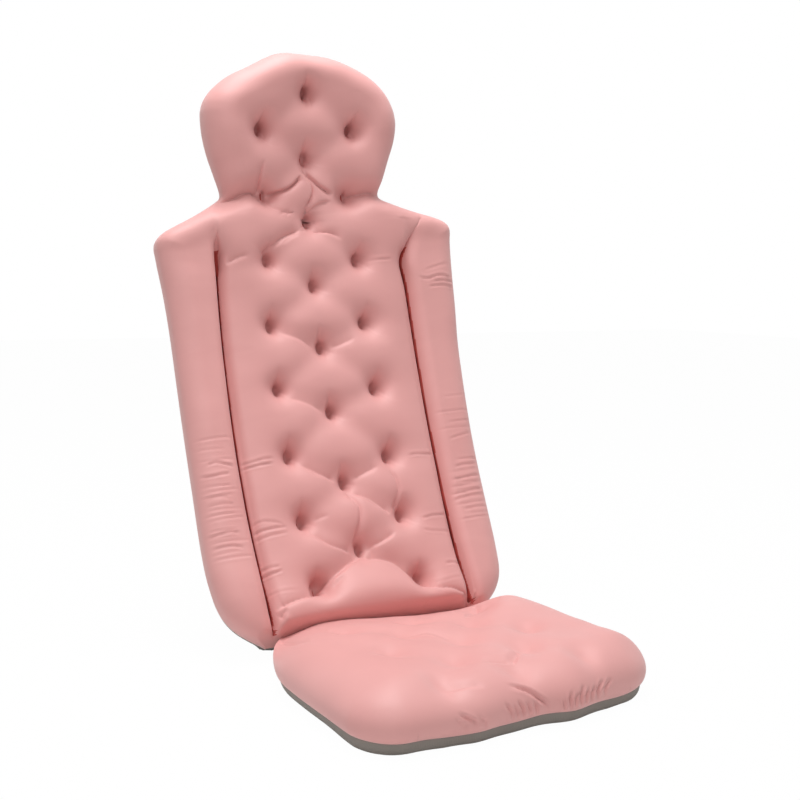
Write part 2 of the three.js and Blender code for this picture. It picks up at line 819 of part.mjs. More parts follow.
const pillow = new THREE.Group().add(
  ...seatPad(),
  ...backPad(),
  ...headPad(),
  ...tackMeshes,
  rod('waist_seam', 2 * (panel_half_width - 4 * welt_radius), waist),
  rod('neck_seam', 2 * (shoulder_break - 4 * welt_radius), neck),
  ...cups,
);

// The part's frame stands in the middle of its bounding box, on the floor
const middle = new THREE.Box3().setFromObject(pillow).getCenter(new THREE.Vector3());
pillow.position.set(-middle.x, -middle.y, 0);

export default pillow;
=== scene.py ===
# %% [markdown]
# # A tufted full-length bath pillow
# The real object is one long stuffed pad: a head cushion, a back with a tufted middle and two side bolsters,
# and a square seat. Pink stretch satin covers the front, a grey knit closes the back. This lesson dresses the
# rigid model with cloth-like covers. Everything ends up in metres in the model's own frame; pad sizes are
# written in millimetres, as a sewing pattern is, and turned into metres in one place.

import json
import math

import bpy
import numpy as np
from mathutils import Matrix, Vector


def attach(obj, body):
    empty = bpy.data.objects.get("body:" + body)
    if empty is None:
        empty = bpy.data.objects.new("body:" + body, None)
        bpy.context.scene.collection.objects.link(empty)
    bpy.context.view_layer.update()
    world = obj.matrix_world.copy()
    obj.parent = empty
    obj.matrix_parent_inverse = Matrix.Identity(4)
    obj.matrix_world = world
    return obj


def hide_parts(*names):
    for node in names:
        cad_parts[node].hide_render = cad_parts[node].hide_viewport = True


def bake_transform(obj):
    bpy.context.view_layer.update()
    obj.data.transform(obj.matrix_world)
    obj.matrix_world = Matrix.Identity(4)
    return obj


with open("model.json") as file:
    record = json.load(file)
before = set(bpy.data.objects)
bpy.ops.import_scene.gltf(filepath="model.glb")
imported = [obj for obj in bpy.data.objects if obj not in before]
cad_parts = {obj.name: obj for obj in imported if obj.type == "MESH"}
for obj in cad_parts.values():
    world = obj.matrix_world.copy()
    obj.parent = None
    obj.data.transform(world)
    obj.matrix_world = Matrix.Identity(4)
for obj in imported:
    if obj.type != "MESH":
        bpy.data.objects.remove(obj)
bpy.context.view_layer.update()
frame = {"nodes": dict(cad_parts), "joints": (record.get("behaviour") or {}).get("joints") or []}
scene = bpy.context.scene

# %% [markdown]
# ## The line of the pad
# The back and head follow one curve that leans 37 degrees at the waist and stands upright at the crown of
# the head. A place on the pad is given as a tailor would: x across, v up along the pad from the waist seam,
# and h out of its front. One function bends that flat pattern onto the curve, so every cover can be shaped
# flat, where it is easy, and bent once.

# %% Bend the flat pattern onto the curve
MM = 0.001
joints = {joint["name"]: joint for joint in frame["joints"]}
waist_y = joints["waist_fold"]["pos_m"][1] / MM
SEAM_HEIGHT = 12.0  # mm from the floor to the seams
LENGTH = 732.0  # mm of back and head along the curve
SPARE = 60  # mm of curve past each of its ends
LEANS = [math.radians(degrees) for degrees in (37.0, 17.4, 0.0)]  # at the waist, half way and at the crown


def lean_at(v):
    low, middle, top = LEANS
    share = v / LENGTH
    bend = 2 * (low - 2 * middle + top)
    return low + share * (top - low - bend) + share * share * bend


line_v = np.linspace(-SPARE, LENGTH + SPARE, 1705)  # half a millimetre apart
line_step = line_v[1] - line_v[0]
line_y = np.cumsum(np.sin(lean_at(line_v - line_step / 2))) * line_step
line_z = np.cumsum(np.cos(lean_at(line_v - line_step / 2))) * line_step
line_y -= np.interp(0, line_v, line_y)
line_z -= np.interp(0, line_v, line_z)
print("the crown leans back", np.interp(LENGTH, line_v, line_y).round(1), "mm from the waist")

# %% [markdown]
# Two small curves do most of the shaping: a soft step and a bell. Their limits are places on the pad in mm. A
# stuffed pad never stands quite square, so the flat pattern is also pulled a little out of true before it is
# bent: the shoulders tilt, the sides sag a few millimetres to the right, and the seat's front is slanted.

# %% Soft steps and the places of points
def ease(value, low, high):
    """0 up to the low value and 1 from the high one, with a soft step between."""
    t = np.clip((value - low) / (high - low), 0, 1)
    return t * t * (3 - 2 * t)


def bell(distance, spread):
    """1 on the spot, about a third at the spread and next to nothing at twice that."""
    return np.exp(-((distance / spread) ** 2))


def settle(x, v):
    """The flat pattern of the back and the head, pulled out of true as the real one is."""
    side = ease(np.abs(x), 112, 190)
    sag = side * (1.5 + 5 * ease(v, 60, 420))
    drawn_in = np.sign(x) * 1.5 * side
    low_sag = 2.5 * side * ease(v, 60, 200) * (1 - ease(v, 400, 500))
    neck_drift = 6 * ease(x, 40, 120) * bell(v - 595, 40)
    tilt = np.maximum(np.abs(x) - 75, 0) * np.where(x < 0, -0.125, 0.09)
    shoulder = tilt * ease(v, 420, 500) * (1 - ease(v, 556, 590))
    crown = -12 * ease(-x, 20, 85) * ease(v, 640, 700)
    return (x + sag - drawn_in) + (low_sag - neck_drift), v + shoulder + crown


def on_back(x, v, h):
    """Places of points x across, v up the pad and h out of its front, all in mm."""
    x, v, h = np.broadcast_arrays(np.asarray(x, float), v, h)
    x, v = settle(x, v)
    lean = lean_at(v)
    y = np.interp(v, line_v, line_y) - h * np.cos(lean) + waist_y
    z = np.interp(v, line_v, line_z) + h * np.sin(lean) + SEAM_HEIGHT
    return np.stack([x, y, z], -1)


def on_seat(x, v, h):
    """The same for the seat, which lies flat; v runs forward from the waist as negative numbers."""
    x, v, h = np.broadcast_arrays(np.asarray(x, float), v, h)
    shorter_right = 0.055 * ease(x, 45, 175)
    front_waves = 0.014 * (bell(x - 45, 24) + bell(x + 58, 20)) * ease(-v, 180, 290)
    rear_shift = 11 * ease(np.abs(x), 60, 140) * (1 - ease(-v, 20, 130))
    x = x - 2 + rear_shift
    x = x * (1 - 0.035 * ease(-x, 40, 180))
    return np.stack([x, v * (1 - shorter_right + front_waves) + waist_y, h + SEAM_HEIGHT], -1)


print("top of the head at", on_back(0, LENGTH, 0).round(1))

# %% [markdown]
# ## Tools for a stuffed cover
# Cloth simulation makes believable folds, but not the folds of one real pad. Here a cover is solved instead
# as a skin that springy fibre pushes up and that pins hold down at the tacks and seams, which gives the same
# hollows and mounds. Folds are pressed in afterwards, where they lie on the real pad.

# %% Curves and distances
def dome(distance, radius):
    """0 at an edge, rising as a quarter circle to 1 at the radius."""
    return np.sqrt(1 - (1 - np.clip(distance / radius, 0, 1)) ** 2)


def lower_of(a, b, softness):
    """The lower of two heights, with the corner between them rounded."""
    return np.minimum(a, b) - softness * np.log1p(np.exp(-np.abs(a - b) / softness))


def smooth_line(points, spacing=2.0):
    """A curve through points in any number of dimensions, resampled evenly."""
    p = np.array(points, float)
    p = np.vstack([2 * p[0] - p[1], p, 2 * p[-1] - p[-2]])
    t = np.linspace(0, 1, 16, endpoint=False)[:, None]
    runs = []
    for a, b, c, d in zip(p, p[1:], p[2:], p[3:]):
        bend = (2 * a - 5 * b + 4 * c - d) * t**2 + (3 * b - a - 3 * c + d) * t**3
        runs.append(0.5 * (2 * b + (c - a) * t + bend))
    fine = np.vstack([*runs, p[-2]])
    run = np.concatenate([[0], np.cumsum(np.linalg.norm(np.diff(fine, axis=0), axis=1))])
    even = np.linspace(0, run[-1], max(int(run[-1] / spacing), 2) + 1)
    return np.stack([np.interp(even, run, column) for column in fine.T], -1)


def beside(line, x, v):
    """Distance to a flat line, and the x of the line where it passes."""
    best = np.full(x.shape, 1e9)
    at = np.zeros(x.shape)
    for a, b in zip(line, line[1:]):
        d = b - a
        t = np.clip(((x - a[0]) * d[0] + (v - a[1]) * d[1]) / (d @ d), 0, 1)
        gap = np.hypot(x - a[0] - t * d[0], v - a[1] - t * d[1])
        at = np.where(gap < best, a[0] + t * d[0], at)
        best = np.minimum(gap, best)
    return best, at


def between(net, i, j, a, b):
    """The value of a net at row i and column j, and the shares a and b of a step further."""
    return ((net[i, j] * (1 - b) + net[i, j + 1] * b) * (1 - a)
            + (net[i + 1, j] * (1 - b) + net[i + 1, j + 1] * b) * a)


print("a dome half way in stands at", dome(0.5, 1.0).round(3))

# %% Lumps, dimples and quilting
LUMPS_UP, LUMPS_ACROSS = 1200, 600  # mm that the net of lumps covers
LUMPS_BELOW, LUMPS_LEFT = 400, 300  # mm of it that lie below the waist and left of the middle
TACK_STRETCH = 0.75  # a dimple is a third longer up the pad than across
ASIDE, ABOVE, NEAR = 30, 20, 90  # mm that tell a slanting neighbour from the others
VALLEY_SHARE = 0.8


def lumps(x, v, size, seed):
    """Smooth unevenness of fibre filling: random values on a coarse net, eased between."""
    rng = np.random.default_rng(seed)
    gx, gv = (x + LUMPS_LEFT) / size, (v + LUMPS_BELOW) / size
    net = rng.normal(size=(int(LUMPS_UP / size) + 3, int(LUMPS_ACROSS / size) + 3))
    i, j = gv.astype(int), gx.astype(int)
    a, b = (t**3 * (t * (6 * t - 15) + 10) for t in (gv - i, gx - j))
    return between(net, i, j, a, b)


def dimples(x, v, tacks, depth, spread):
    """Depth of the dimples round tacks; where two of them meet they don't add up."""
    left = np.ones(x.shape)
    for tack_x, tack_v in tacks:
        left *= 1 - bell(np.hypot(x - tack_x, (v - tack_v) * TACK_STRETCH), spread)
    return depth * (1 - left)


def quilting(x, v, tacks, spread):
    """1 on the mounds, falling towards the straight lines from each tack to its slanting neighbours."""
    level = np.ones(x.shape)
    for k, a in enumerate(tacks):
        for b in tacks[:k]:
            if abs(a[0] - b[0]) > ASIDE and abs(a[1] - b[1]) > ABOVE and math.dist(a, b) < NEAR:
                level *= 1 - VALLEY_SHARE * bell(beside(np.array([a, b]), x, v)[0], spread)
    return level


print("a lone dimple", dimples(np.array([0.0, 15.0]), np.zeros(2), [(0, 0)], 6.5, 15).round(1), "mm deep")

# %% [markdown]
# The cover's height is worked out on a grid. Every point is pulled to the mean of its neighbours, as cloth
# is, and pushed up by the fibre, and the points at the pins stay down. Solved on a coarse grid first and then
# on finer ones, the wide pulls settle as fast as the narrow ones.

# %% Cover stretched over fibre, held down at pins
PITCH = 2.0  # mm between the points of the finest grid
SKIPS = (8, 4, 2, 1)  # points that each grid steps over
TURNS = 160  # on each grid
OVERSHOOT = 1.5  # a point moves past the level that its neighbours ask for, which settles sooner
FRINGE = 5  # rings of points outside the outline that take their neighbours' height


def four_around(field):
    """The sum of the four neighbours of each point."""
    p = np.pad(field, 1)
    return p[:-2, 1:-1] + p[2:, 1:-1] + p[1:-1, :-2] + p[1:-1, 2:]


def stretched(low, high, inside, pins, reach, slit):
    """Height of a cover that fibre pushes up to 1 and pins hold lower, solved coarse to fine on a grid.

    Each pin is x, v and the height that it holds. The reach is how far a pin's pull is felt, and the slit is
    half the length of a pin up the pad, in mm.
    """
    xs, vs = [np.arange(low[k], high[k] + 1, PITCH) for k in range(2)]
    x, v = np.meshgrid(xs, vs)
    within = inside(x, v)
    held = np.full(x.shape, np.nan)
    for px, pv, height in pins:
        near = (np.abs(x - px) <= PITCH * 0.6) & (np.abs(v - pv) <= slit)
        held[near] = np.fmin(held[near], height)
    w = None
    for skip in SKIPS:
        rows, cols = [np.arange(0, n, skip) for n in x.shape]
        cells = within[np.ix_(rows, cols)]
        fixed = np.full(cells.shape, np.nan)
        for i, j in np.argwhere(~np.isnan(held)):
            at = min(round(i / skip), len(rows) - 1), min(round(j / skip), len(cols) - 1)
            fixed[at] = np.fmin(fixed[at], held[i, j])
        down = ~np.isnan(fixed)
        w = np.ones(cells.shape) if w is None else np.kron(w, np.ones((2, 2)))[: len(rows), : len(cols)]
        w = np.where(down, fixed, w) * cells
        count = np.maximum(four_around(cells.astype(float)), 1)
        spring = (skip * PITCH / reach) ** 2
        checker = np.add.outer(np.arange(len(rows)), np.arange(len(cols))) % 2
        move = cells & ~down
        for turn in range(TURNS):
            level = (four_around(w) + spring) / (count + spring)
            w = np.where(move & (checker == turn % 2), w + OVERSHOOT * (level - w), w)

    known = within.astype(float)
    for ring in range(FRINGE):
        total, count = four_around(w * known), four_around(known)
        w = np.where(known > 0, w, total / np.maximum(count, 1))
        known = np.minimum(known + (count > 0), 1)

    def sample(x, v):
        i = np.clip((v - vs[0]) / PITCH, 0, len(vs) - 1.001)
        j = np.clip((x - xs[0]) / PITCH, 0, len(xs) - 1.001)
        i0, j0 = i.astype(int), j.astype(int)
        return between(w, i0, j0, i - i0, j - j0)

    return sample


print("a grid of", PITCH, "mm, solved in", TURNS * len(SKIPS), "turns")


# %% [markdown]
# ## A pad's net of points
# A cover is one net of rows along the pad and columns across it. Rows and columns crowd where the surface
# turns over at the edge, because a rounded edge drawn with even steps would show facets. Past the widest line
# the net goes on inwards to the seam, as the real pink cloth wraps round to meet the grey one.

# %% Make the net
WRAP_STEPS = 6  # rows or columns of the part that wraps under
EDGE_COLUMNS = 18  # columns in each rounded side
CROWDING, CROWD_SPREAD = 3, 7  # columns added at a seam for each one that is there, over so many mm
CROWD_WIDTH = 37  # mm of columns that crowding adds for each seam


def edge_steps(radius, count):
    """Distances from an edge that crowd towards it."""
    return radius * (1 - np.cos(np.linspace(0, math.pi / 2, count + 1)))


class Pad:
    """A pad pattern: its outline from the waist to the far end, and the rows and columns of its net."""

    def __init__(self, outline, place, rows, inset=0.0, across=1.7, edge=30.0, seams=()):
        line = smooth_line(outline, 3.0)
        tangent = np.gradient(line, axis=0)
        inward = np.stack([-tangent[:, 1], tangent[:, 0]], -1) * math.copysign(1, outline[-1][1])
        line = line + inset * inward / np.linalg.norm(inward, axis=1, keepdims=True)
        order = np.argsort(line[:, 1])
        self.edge_v, self.edge_x = line[order, 1], line[order, 0]
        self.place = place
        self.far_first = outline[-1][1] < 0
        self.v = np.unique(np.clip(rows, self.edge_v[0], self.edge_v[-1]))  # rows past an end are one row
        self.half = self.half_at(self.v)
        reach = np.minimum(edge, 0.6 * self.half)[:, None]
        side = self.half[:, None] - edge_steps(1, EDGE_COLUMNS)[::-1] * reach
        core = self.core(self.half[:, None] - reach, across, seams)
        self.x = np.hstack([-side[:, ::-1], core, side])
        self.vv = np.broadcast_to(self.v[:, None], self.x.shape)
        self.gap, _ = beside(np.vstack([line, (line * [-1, 1])[::-1]]), self.x, self.vv)
        self.gap[:, [0, -1]] = 0
        self.gap[0 if self.far_first else -1] = 0
        slope = np.gradient(self.half, self.v)
        self.inward = np.stack([-np.ones_like(slope), slope], -1) / np.hypot(1, slope)[:, None]

    def core(self, inner, across, seams):
        """Columns between the rounded sides; they crowd along seams, so that a narrow groove stays smooth."""
        fine = np.linspace(-1, 1, 601) * inner
        weight = np.ones_like(fine)
        for line in seams:
            seam_x = np.interp(self.v, line[:, 1], line[:, 0])[:, None]
            weight += CROWDING * bell(fine - seam_x, CROWD_SPREAD)
        share = np.cumsum(weight, 1)
        share = (share - share[:, :1]) / (share[:, -1:] - share[:, :1])
        count = int((2 * inner.max() + CROWD_WIDTH * len(seams)) / across)
        even = np.linspace(0, 1, count + 1)[1:-1]
        return np.stack([np.interp(even, *row) for row in zip(share, fine)])

    def half_at(self, v):
        return np.interp(v, self.edge_v, self.edge_x)

    def inside(self, x, v):
        return (np.abs(x) < self.half_at(v)) & (v > self.edge_v[0]) & (v < self.edge_v[-1])

    def lift(self, points, net):
        """Places on the cover, given across and along the flat pattern."""
        found = []
        for x, v in smooth_line(points):
            row = np.interp(v, self.v, np.arange(len(self.v)))
            i = min(int(row), len(self.v) - 2)
            column = np.interp(x, self.x[i], np.arange(self.x.shape[1]))
            j = min(int(column), self.x.shape[1] - 2)
            found.append(between(net, i, j, row - i, column - j))
        return np.array(found)

    def wrapped(self, height, inset, seam=0.0, steps=WRAP_STEPS):
        """The whole net with the part that wraps under to the seam, in place."""
        turn = np.linspace(0, math.pi / 2, steps + 1)[1:]
        far = (steps, 0) if self.far_first else (0, steps)
        spread = [far, (steps, steps)]
        x, v, h = (np.pad(field, spread, mode="edge") for field in (self.x, self.vv, height))
        across = np.concatenate([turn[::-1], np.zeros(self.x.shape[1]), turn])[None, :]
        along = np.concatenate([turn[::-1][: far[0]], np.zeros(len(self.v)), turn[: far[1]]])[:, None]
        side = np.sign(x) * (across > 0)
        inward = np.pad(self.inward, [far, (0, 0)], mode="edge")[:, None, :]
        dx = side * inward[..., 0]
        dv = np.where(along > 0, 1.0 if self.far_first else -1.0, inward[..., 1] * (across > 0))
        size = np.maximum(np.hypot(dx, dv), 1e-9)
        angle = np.maximum(across, along)
        move = inset * (1 - np.cos(angle)) / size
        h = h + (seam - h) * np.sin(angle)
        return self.place(x + dx * move, v + dv * move, h)

    def unwrapped(self, net):
        """The part of a wrapped net that shows from the front."""
        rows = slice(WRAP_STEPS, None) if self.far_first else slice(None, -WRAP_STEPS)
        return net[rows, WRAP_STEPS:-WRAP_STEPS]


print("steps of a rounded edge", edge_steps(30, 5).round(1))

# %% Normals of a net
NORMAL_TURNS = 4  # of evening out, so that folds pressed along the normals don't cross


def net_normals(net):
    across = np.gradient(net, axis=1)
    along = np.gradient(net, axis=0)
    normal = np.cross(across, along)
    normal /= np.maximum(np.linalg.norm(normal, axis=-1, keepdims=True), 1e-9)
    for turn in range(NORMAL_TURNS):
        p = np.pad(normal, [(1, 1), (1, 1), (0, 0)], mode="edge")
        normal = (p[:-2, 1:-1] + p[2:, 1:-1] + p[1:-1, :-2] + p[1:-1, 2:] + 2 * normal) / 6
    return normal / np.maximum(np.linalg.norm(normal, axis=-1, keepdims=True), 1e-9)


print("normals evened out", NORMAL_TURNS, "times")


# %% A mesh from a net
def put(name, data):
    """Adds an object with a mesh, lamp or camera to the scene."""
    made = bpy.data.objects.new(name, data)
    scene.collection.objects.link(made)
    return made


def net_mesh(name, net, flip=False):
    """A smooth mesh in metres from a net in mm, with a flat pattern map for the weave."""
    rows, cols = net.shape[:2]
    index = np.arange(rows * cols).reshape(rows, cols)
    quads = np.stack([index[:-1, :-1], index[:-1, 1:], index[1:, 1:], index[1:, :-1]], -1).reshape(-1, 4)
    if flip:
        quads = quads[:, ::-1]
    mesh = bpy.data.meshes.new(name)
    mesh.vertices.add(rows * cols)
    mesh.vertices.foreach_set("co", (net.reshape(-1, 3) * MM).ravel())
    mesh.loops.add(quads.size)
    mesh.loops.foreach_set("vertex_index", quads.ravel())
    mesh.polygons.add(len(quads))
    mesh.polygons.foreach_set("loop_start", np.arange(0, quads.size, 4))
    mesh.polygons.foreach_set("use_smooth", np.ones(len(quads), bool))
    mesh.update(calc_edges=True)
    mesh.validate()
    middle = cols // 2
    along = np.cumsum(np.linalg.norm(np.diff(net, axis=0, prepend=net[:1]), axis=-1)[:, middle])
    across = np.cumsum(np.linalg.norm(np.diff(net, axis=1, prepend=net[:, :1]), axis=-1), 1)
    across -= across[:, middle][:, None]
    uv = np.stack([across, np.broadcast_to(along[:, None], across.shape)], -1).reshape(-1, 2) * MM
    layer = mesh.uv_layers.new(name="pattern")
    loops = np.empty(len(mesh.loops), np.int32)
    mesh.loops.foreach_get("vertex_index", loops)
    layer.data.foreach_set("uv", uv[loops].ravel().astype(np.float32))
    print(name, rows, "x", cols, "points")
    return put(name, mesh)


# %% [markdown]
# A fold in stretched satin is steep on one side, where the cloth tucks under, and rolls away softly on the
# other. A plain groove would look like a drawn line, so each fold has two flanks of its own width and a low
# lip, and fades at its ends. It is pressed along the surface's normal, so it works on steep sides too.

# %% Press a fold into a net
FOLD_REACH = 4  # widths of its wider flank that a fold can be felt over
LIP_AT = 2.2  # widths from the fold to the crest of its lip


def press(net, normal, sunk, line, depth, left, right, lip, fades):
    """Adds a fold along a line to sunk, the distance that each point moves inwards.

    Left and right are the widths of its flanks in mm, the lip is a share of the depth, and the fades are the
    shares of its length over which its ends run out.
    """
    reach = FOLD_REACH * max(left, right)
    low, high = line.min(0) - reach, line.max(0) + reach
    near = np.all((net > low) & (net < high), -1)
    if not near.any():
        return
    p, n = net[near], normal[near]
    gap = np.full(len(p), 1e9)
    side, share = np.ones(len(p)), np.zeros(len(p))
    for k, (a, b) in enumerate(zip(line, line[1:])):
        d = b - a
        t = np.clip((p - a) @ d / (d @ d), 0, 1)
        away = p - a - t[:, None] * d
        distance = np.linalg.norm(away, axis=1)
        closer = distance < gap
        gap = np.where(closer, distance, gap)
        side = np.where(closer, np.sum(np.cross(d, away) * n, 1), side)
        share = np.where(closer, (k + t) / (len(line) - 1), share)
    strength = np.ones_like(share)
    for end, fade in zip((share, 1 - share), fades):
        if fade:
            strength *= ease(end, 0, fade)
    width = np.where(side > 0, left, right)
    groove = np.exp(-gap / width) - lip * bell(gap - LIP_AT * width, width)
    deeper = strength * depth * groove
    was_in, was_out = sunk[near].clip(0), sunk[near].clip(None, 0)
    sunk[near] = np.hypot(was_in, deeper.clip(0)) + was_out + deeper.clip(None, 0)


print("a fold is felt over", FOLD_REACH, "widths")

# %% [markdown]
# ## Back and head cover
# The pink front of the back and the head is one continuous cloth on the real pad, gathered at the neck, so it
# is one piece here too. Its outline narrows at the neck; the seams beside the tufted middle press grooves,
# and 24 bar tacks pull it down to the backing.

# %% Outline of the back and head
UPPER_LINE = [
    (128, -6), (136, -1), (153, 9), (172, 25), (184.5, 46), (190, 76), (192.5, 120), (193.5, 236),
    (196.5, 357), (200, 420), (204, 484), (205.5, 499), (203.5, 509), (195, 517), (180, 523.5), (165, 528.5),
    (145, 535.5), (128, 542.5), (115, 549), (109.5, 555), (111, 564), (116, 577), (124, 599), (130, 624),
    (132, 648), (130.5, 662), (127, 674), (119.5, 688), (107.5, 701), (91, 712.5), (72, 721), (52, 727.3),
    (36, 730.7), (20, 732)]
waist_rows, neck_rows = np.arange(0, 24, 1.2), np.arange(500, 600, 1.1)
back_rows, head_rows = np.arange(24, 500, 1.7), np.arange(600, LENGTH - 30, 1.7)
crown_rows = (LENGTH - edge_steps(30, 22))[::-1]
upper_rows = np.concatenate([waist_rows, back_rows, neck_rows, head_rows, crown_rows])
print("rows of the back and head", len(upper_rows))

# %% Tacks of the back and head
back_tacks = [
    (-65, 54.5), (66, 49), (0, 94.5), (-65, 137), (66, 133), (0, 181), (-66, 219), (66, 211), (0, 272),
    (-66, 304), (66, 301), (0, 356), (-64, 385), (64, 388), (0, 436), (-60, 468), (64, 471), (1, 518.5),
    (-55, 552), (58, 555)]
head_tacks = [(1, 599), (-61, 632), (64, 639), (2, 681.5)]
SEAMS = {
    "left": [(-131, -8), (-131, 60), (-132.5, 200), (-131, 330), (-129, 420), (-128, 466), (-130, 506)],
    "right": [(129, -8), (130, 60), (133.5, 200), (134, 330), (132, 430), (129, 468), (140, 497), (159, 527)],
}
seam_lines = {name: smooth_line(points) for name, points in SEAMS.items()}
print("side seams", [len(line) for line in seam_lines.values()], "points")

# %% Skin stretched over the back and head
SEAM_PIN, TACK_PIN = 0.4, 0.12  # shares of the free height that seams and tacks leave
FREE = 0.57  # solved height of a mound between tacks at their usual distance
upper = Pad(UPPER_LINE, on_back, upper_rows, across=1.5, seams=seam_lines.values())
pins = [(*point, SEAM_PIN) for line in seam_lines.values() for point in line[::2] if point[1] < 480]
pins += [(*place, TACK_PIN) for place in back_tacks + head_tacks]
upper_shape = stretched((-210, -8), (210, 736), upper.inside, pins, 46.0, 5.5)
tuft = 1.2 * np.tanh(0.95 * (upper_shape(upper.x, upper.vv) / FREE).clip(0) ** 1.4)
print("net", upper.x.shape, "tacks", len(back_tacks), "+", len(head_tacks))
print("mounds from", tuft.min().round(2), "to", tuft.max().round(2))

# %% Stuffed height of the back and head
WIDEST = 12.0  # mm over the seam where the pad is widest
CROWN = 37  # mm of a mound in the middle of the back
BOLSTER = 33  # mm of a bolster
SEAM_FLOOR = 9.0  # mm over the seam line that the grooves beside the panel go down to
x, v = upper.x, upper.vv
lumbar, neck_dip, head_rise = 9 * bell(v - 28, 30), 3 * bell(v - 552, 26), 4 * ease(v, 580, 640)
crown = CROWN + lumbar - neck_dip + head_rise
valleys = 0.88 + 0.12 * quilting(x, v, back_tacks + head_tacks, 15)
height = crown * tuft * valleys
height = height + 0.8 * lumps(x, v, 34, 3) * np.clip(tuft, 0, 1)
bolster = ease(np.abs(x), 126, 136) * (1 - ease(v, 488, 540))
height = height * (1 - bolster) + bolster * (BOLSTER + 0.7 * lumps(x, v, 42, 8))
edge_radius = 30 + 4 * ease(v, 560, 620) - 6 * bell(v - 530, 22)
height = WIDEST + (height - WIDEST) * dome(upper.gap, edge_radius)

NECK = {
    "left": [(-117, 547), (-100, 549), (-78, 554), (-58, 551)],
    "right": [(104, 558), (86, 559), (68, 557), (53, 554)],
}
for line in NECK.values():
    gap, _ = beside(smooth_line(line), x, v)
    height *= 1 - 0.42 * bell(gap, 14)
for line in seam_lines.values():
    gap, at = beside(line, x, v)
    reach = 1 - 0.9 * ease(v, 462, 512)
    groove = dome(gap, np.where(np.abs(x) > np.abs(at), 17.0, 14.0))
    pulled = height + (SEAM_FLOOR - height) * (1 - groove) * reach
    height = np.where(height > SEAM_FLOOR, pulled, height)
print("stuffed height", height.min().round(1), height.max().round(1))

# %% [markdown]
# At the waist the back and the seat press on each other. Their covers meet on a plane that halves the angle
# between them, as two cushions do, so neither runs into the other and no gap shows.

# %% Where the back meets the seat
FOLD_SLOPE = 1 / math.tan((math.pi / 2 - LEANS[0]) / 2)
ROLL = 48  # mm that the back's roll over the waist would stand up to if nothing held it
BEARING = 0.4  # mm that each cover stays off the plane
PRESSED_ROWS = 110  # mm up the pad that the roll reaches


def contact(x):
    """How high the seat and the back press on each other at the waist."""
    return (21 - 9 * ease(x, -50, 45)) * dome(140 - np.abs(x), 90)


free_bolsters = 40 * ease(np.abs(x), 112, 136)
rolled = contact(x) + (ROLL - contact(x)) * dome(v - contact(x) / FOLD_SLOPE, 44) + free_bolsters
height = np.where(v < PRESSED_ROWS, lower_of(height, rolled, 4.0), height)
height = lower_of(height, FOLD_SLOPE * v - BEARING, 1.5)
print("height at the waist's middle", height[:20, height.shape[1] // 2].max().round(1))

# %% [markdown]
# The folds below are those that show on the real pad: sharp ones between the tacks of the lower back and
# round the neck, and short wrinkles where the seams draw the cloth in. Each is a few points across and
# along the flat pattern, how deep it is, how wide its flanks are to the left and right of its run, and the
# shares of its length over which its two ends run out.

